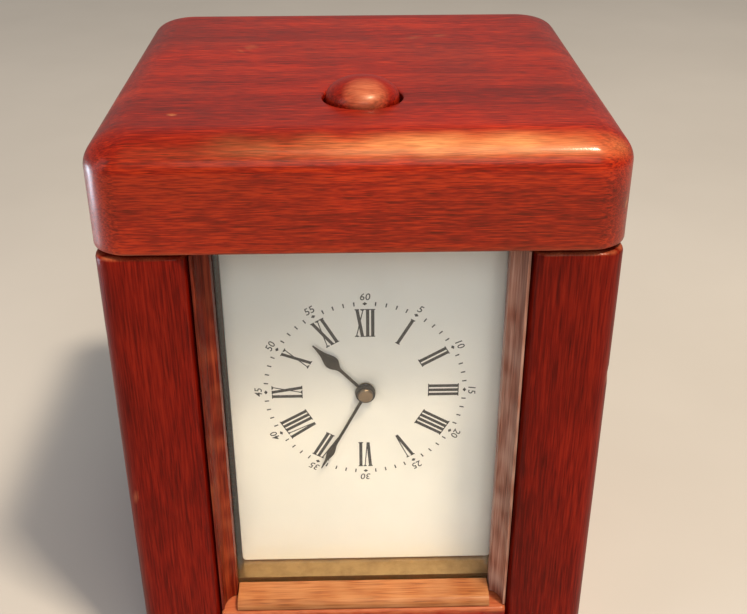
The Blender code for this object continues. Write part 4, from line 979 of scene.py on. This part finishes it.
def figures(text, turn):
    """A small number with its feet to the centre, as a flat mesh with a little thickness."""
    curve = bpy.data.curves.new("figure", "FONT")
    curve.body = text
    curve.align_x = "CENTER"
    curve.size = FIGURE_H / FIGURE_FULL
    curve.space_character = 1.02
    curve.shear = 0.12
    curve.offset = 0.02 * MM
    curve.extrude = INK_T / 2
    curve.resolution_u = 3
    mesh = meshed(curve)
    swing = -math.radians(turn)
    across = Matrix.Rotation(swing, 4, "Z") @ Matrix.Translation((0.0, FIGURE_R - FIGURE_H / 2, 0.0))
    mesh.transform(standing(FACE - INK_T / 2 - 0.001 * MM) @ across)
    return mesh


shape = bmesh.new()
for step in range(12):
    mesh = figures(str(5 * step or 60), 30.0 * step)
    shape.from_mesh(mesh)
    bpy.data.meshes.remove(mesh)
piece("minute_figures", shape, ink, "case", (), 20.0)

# ---------------------------------------------------------------- hands


def sheet(outlines, thickness, edge):
    """A flat plate cut to outlines, lying in XY, with softened edges."""
    curve = bpy.data.curves.new("sheet", "CURVE")
    curve.dimensions = "2D"
    curve.fill_mode = "BOTH"
    curve.extrude = thickness / 2 - edge
    curve.bevel_depth = edge
    curve.bevel_resolution = 2
    curve.offset = -edge
    for outline in outlines:
        line = curve.splines.new("POLY")
        line.points.add(len(outline) - 1)
        for point, (x, y) in zip(line.points, outline):
            point.co = (x, y, 0.0, 1.0)
        line.use_cyclic_u = True
    mesh = meshed(curve)
    shape = bmesh.new()
    shape.from_mesh(mesh)
    bpy.data.meshes.remove(mesh)
    bmesh.ops.remove_doubles(shape, verts=shape.verts, dist=0.002 * MM)
    return shape


def circle(radius, steps=40):
    """Points round a circle about the origin."""
    turns = [2 * math.pi * i / steps for i in range(steps)]
    return [(radius * math.cos(turn), radius * math.sin(turn)) for turn in turns]


def on_dial(shape, turn, y):
    """Stands a flat plate up in front of the dial, pointing at an angle clockwise from twelve."""
    swing = Matrix.Rotation(-math.radians(turn), 4, "Z")
    bmesh.ops.transform(shape, matrix=standing(y) @ swing, verts=shape.verts)
    return shape


def hand_outline(eye, stations):
    """A hand outline from its eye to its tip. stations hold (half width, distance from the eye's centre)."""
    right = [(half * MM, reach * MM) for half, reach in stations]
    opening = math.degrees(math.asin(right[0][0] / eye))
    bow = []
    for i in range(37):
        turn = math.radians(90 - opening - (360 - 2 * opening) * i / 36)
        bow.append((eye * math.cos(turn), eye * math.sin(turn)))
    return bow + [(-x, y) for x, y in right] + [(x, y) for x, y in reversed(right)]


HOUR_TURN = 317.25
MINUTE_TURN = 207.0
HAND_T = 0.4 * MM
HAND_EDGE = 0.06 * MM
HOUR_EYE = 2.55 * MM
MINUTE_EYE = 2.45 * MM
EYE_FIT = 0.03 * MM
PIPE_R = 1.7 * MM
ARBOR_R = 1.1 * MM
hour_stations = [
    (0.40, 2.75), (0.36, 5.0), (0.36, 8.0), (0.42, 9.2), (0.66, 9.9),
    (1.15, 10.6), (1.55, 11.3), (1.72, 12.1), (1.62, 12.9), (1.30, 13.8),
    (0.92, 14.7), (0.66, 15.5), (0.46, 16.4), (0.30, 17.4), (0.12, 18.8),
]
shape = sheet([hand_outline(HOUR_EYE, hour_stations), circle(PIPE_R + EYE_FIT)], HAND_T, HAND_EDGE)
on_dial(shape, HOUR_TURN, middle("hour_hand").y)
piece("hour_pointer", shape, blued_steel, "hour_hand", ["hour_hand"])
minute_stations = [
    (0.38, 2.6), (0.36, 4.0), (0.34, 12.0), (0.34, 16.6), (0.44, 17.4),
    (0.72, 18.4), (0.92, 19.3), (0.95, 19.9), (0.82, 20.7), (0.55, 21.6),
    (0.36, 22.4), (0.26, 23.6), (0.10, 25.3),
]
shape = sheet([hand_outline(MINUTE_EYE, minute_stations), circle(ARBOR_R + EYE_FIT)], HAND_T, HAND_EDGE)
on_dial(shape, MINUTE_TURN, middle("minute_hand").y)
piece("minute_pointer", shape, blued_steel, "minute_hand", ["minute_hand"])

low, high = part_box("hand_nut")
NUT_R = (high.x - low.x) / 2
thick = high.y - low.y
profile = [(ARBOR_R + 0.05 * MM, high.y), (NUT_R, high.y), (NUT_R, high.y - 0.35 * thick)]
for turn in (20, 40, 60, 80):
    swing = math.radians(turn)
    radius = NUT_R - 0.6 * MM * (1 - math.cos(swing))
    profile.append((radius, high.y - thick * (0.35 + 0.65 * math.sin(swing))))
profile.append((ARBOR_R + 0.05 * MM, low.y))
shape = turned(profile, (DIAL_AT.x, 0.0, DIAL_AT.z), 48, "Y")
piece("centre_nut", shape, nut_bronze, "minute_hand", ["hand_nut"])

# ---------------------------------------------------------------- finishes of the works

WHEELS = (
    "hour_wheel", "minute_wheel", "centre_wheel", "third_wheel", "contrate_wheel",
    "alarm_wheel", "balance_wheel", "going_barrel", "alarm_barrel",
)
BY_NODE = {"movement_bed": bed_brass, "alarm_bell": bell_metal}
BY_NODE.update({name: wheel_brass for name in WHEELS})
BY_SLOT = {
    "brass": brass, "steel": steel, "bell_metal": bell_metal, "mahogany": rail_wood,
    "bead_wood": sill_wood, "blued_steel": blued_steel, "enamel": white_enamel, "glass": glass,
}
for name, node in NODES.items():
    old = node.data.materials[0].name.split(".")[0]
    finish = BY_NODE.get(name) or BY_SLOT[old]
    node.data.materials.clear()
    node.data.materials.append(finish)

SCREW_DEPTH = 0.35 * MM
SCREW_CROWN = 0.14 * MM
SLOT_HALF = 0.11 * MM
SLOT_DEEP = 0.22 * MM


def screw(name, at, outward, radius, turn, body):
    """A slotted countersunk screw head lying flush in a leaf. outward is the leaf's free side."""
    rim_ring = [Vector((x, y, 0.0)) for x, y in circle(radius)]
    crown = [point * 0.93 + Vector((0, 0, 0.10 * MM)) for point in rim_ring]
    inner = [point * 0.5 + Vector((0, 0, SCREW_CROWN)) for point in rim_ring]
    foot = [point - Vector((0, 0, SCREW_DEPTH)) for point in rim_ring]
    shape = loft([foot, rim_ring, crown, inner])
    cutter = bmesh.new()
    bmesh.ops.create_cube(cutter, size=1.0)
    size = Vector((radius * 2.4, SLOT_HALF * 2, SLOT_DEEP * 2))
    bmesh.ops.scale(cutter, vec=size, verts=cutter.verts)
    bmesh.ops.translate(cutter, vec=(0, 0, SCREW_CROWN), verts=cutter.verts)
    head_mesh = bpy.data.meshes.new("head")
    slot_mesh = bpy.data.meshes.new("slot")
    bmesh.ops.recalc_face_normals(shape, faces=shape.faces)
    shape.to_mesh(head_mesh)
    cutter.to_mesh(slot_mesh)
    shape.free()
    cutter.free()
    head = bpy.data.objects.new("head", head_mesh)
    groove = bpy.data.objects.new("slot", slot_mesh)
    for made in (head, groove):
        SCENE.collection.objects.link(made)
    mod = head.modifiers.new("slot", "BOOLEAN")
    mod.operation = "DIFFERENCE"
    mod.solver = "EXACT"
    mod.object = groove
    bpy.context.view_layer.update()
    mesh = bpy.data.meshes.new_from_object(head.evaluated_get(bpy.context.evaluated_depsgraph_get()))
    for made in (head, groove):
        bpy.data.objects.remove(made)
    shape = bmesh.new()
    shape.from_mesh(mesh)
    bpy.data.meshes.remove(mesh)
    aim = Vector(outward).to_track_quat("Z", "X").to_matrix().to_4x4()
    place = Matrix.Translation(at) @ aim @ Matrix.Rotation(math.radians(turn), 4, "Z")
    bmesh.ops.transform(shape, matrix=place, verts=shape.verts)
    return piece(name, shape, steel, body, (), 30.0)


LEAF_T = 1.1 * MM
SCREW_R = 1.5 * MM
for node, body, spots in (
    # leaf, the body it moves with, x and z of its screws
    ("lid_hinge_fixed_leaf", "case", ((-20.0, 120.6), (0.0, 120.6), (20.0, 120.6))),
    ("lid_hinge_moving_leaf", "lid", ((-20.0, 132.5), (0.0, 132.5), (20.0, 132.5))),
    ("door_hinge_fixed_leaf", "case", ((-42.6, 53.0), (-42.6, 70.85), (-42.6, 88.5))),
    ("door_hinge_moving_leaf", "door", ((-32.8, 53.0), (-32.8, 70.85), (-32.8, 88.5))),
):
    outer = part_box(node)[0].y + LEAF_T
    for i, (x, z) in enumerate(spots):
        at = Vector((x * MM, outer, z * MM))
        screw(f"{node}_screw_{i}", at, (0, 1, 0), SCREW_R, 25.0 + 61.0 * i, body)

# ---------------------------------------------------------------- stage, light and camera

FLOOR_HALF = 4.0
shape = bmesh.new()
bmesh.ops.create_grid(shape, x_segments=2, y_segments=2, size=FLOOR_HALF)
mesh = bpy.data.meshes.new("floor")
shape.to_mesh(mesh)
shape.free()
floor = bpy.data.objects.new("floor", mesh)
SCENE.collection.objects.link(floor)
made, tree, shader = material("pale_floor", Roughness=0.7, Specular_IOR_Level=0.25)
coords = put(tree, "ShaderNodeTexCoord").outputs["Object"]
cloud = grain_noise(tree, coords, [5.0] * 3, 4.0, 0.55)
colour = ramp(tree, cloud, [(0.3, (0.52, 0.51, 0.50)), (0.7, (0.57, 0.56, 0.55))])
tree.links.new(colour, shader.inputs["Base Color"])
weave = grain_noise(tree, coords, [900.0] * 3, 3.0, 0.6)
bump(tree, shader, weave, 0.1, 0.0002)
mesh.materials.append(made)


def lamp(name, at, target, size, power, colour, spread=180):
    """A rectangular soft light, its spread narrowed as by a grid."""
    data = bpy.data.lights.new(name, "AREA")
    data.shape = "RECTANGLE"
    data.size, data.size_y = size
    data.energy = power
    data.color = colour
    data.spread = math.radians(spread)
    made = bpy.data.objects.new(name, data)
    made.location = at
    made.rotation_euler = (Vector(target) - Vector(at)).to_track_quat("-Z", "Y").to_euler()
    SCENE.collection.objects.link(made)
    return made


AIM = (0.0, 0.0, 0.10)
lamp("key", (0.20, -0.44, 1.12), AIM, (0.55, 0.45), 4.4, (1.0, 0.80, 0.58))
lamp("key_core", (0.38, -0.44, 1.22), AIM, (0.16, 0.12), 17.0, (1.0, 0.82, 0.60))
lamp("front_fill", (0.12, -1.30, 0.90), AIM, (0.8, 0.6), 4.3, (0.90, 0.96, 1.0))
lamp("left_sky", (-0.95, -0.45, 0.55), AIM, (0.5, 0.7), 2.0, (0.72, 0.84, 1.0))
lamp("left_low", (-0.38, 0.05, 0.06), (-0.058, -0.05, 0.14), (0.10, 0.12), 0.035, (0.66, 0.80, 1.0), 30)

SKY = (1.0, 0.97, 0.93, 1.0)
SKY_STRENGTH = 0.24
world = bpy.data.worlds.new("room")
world.use_nodes = True
sky = world.node_tree.nodes["Background"]
sky.inputs["Color"].default_value = SKY
sky.inputs["Strength"].default_value = SKY_STRENGTH
SCENE.world = world

LENS = 51.2
SENSOR = 36.0
CAMERA_AT = (-0.00195, -0.26207, 0.22712)
HEADING = math.radians(-1.30)
PITCH = math.radians(61.09)
ROLL = math.radians(-0.14)
camera_data = bpy.data.cameras.new("camera")
camera_data.lens = LENS
camera_data.sensor_width = SENSOR
camera_data.clip_start = 0.01
camera = bpy.data.objects.new("camera", camera_data)
tilt = Matrix.Rotation(HEADING, 4, "Z") @ Matrix.Rotation(PITCH, 4, "X")
camera.matrix_world = Matrix.Translation(CAMERA_AT) @ tilt @ Matrix.Rotation(ROLL, 4, "Z")
SCENE.collection.objects.link(camera)
SCENE.camera = camera
SCENE.view_settings.view_transform = "Standard"
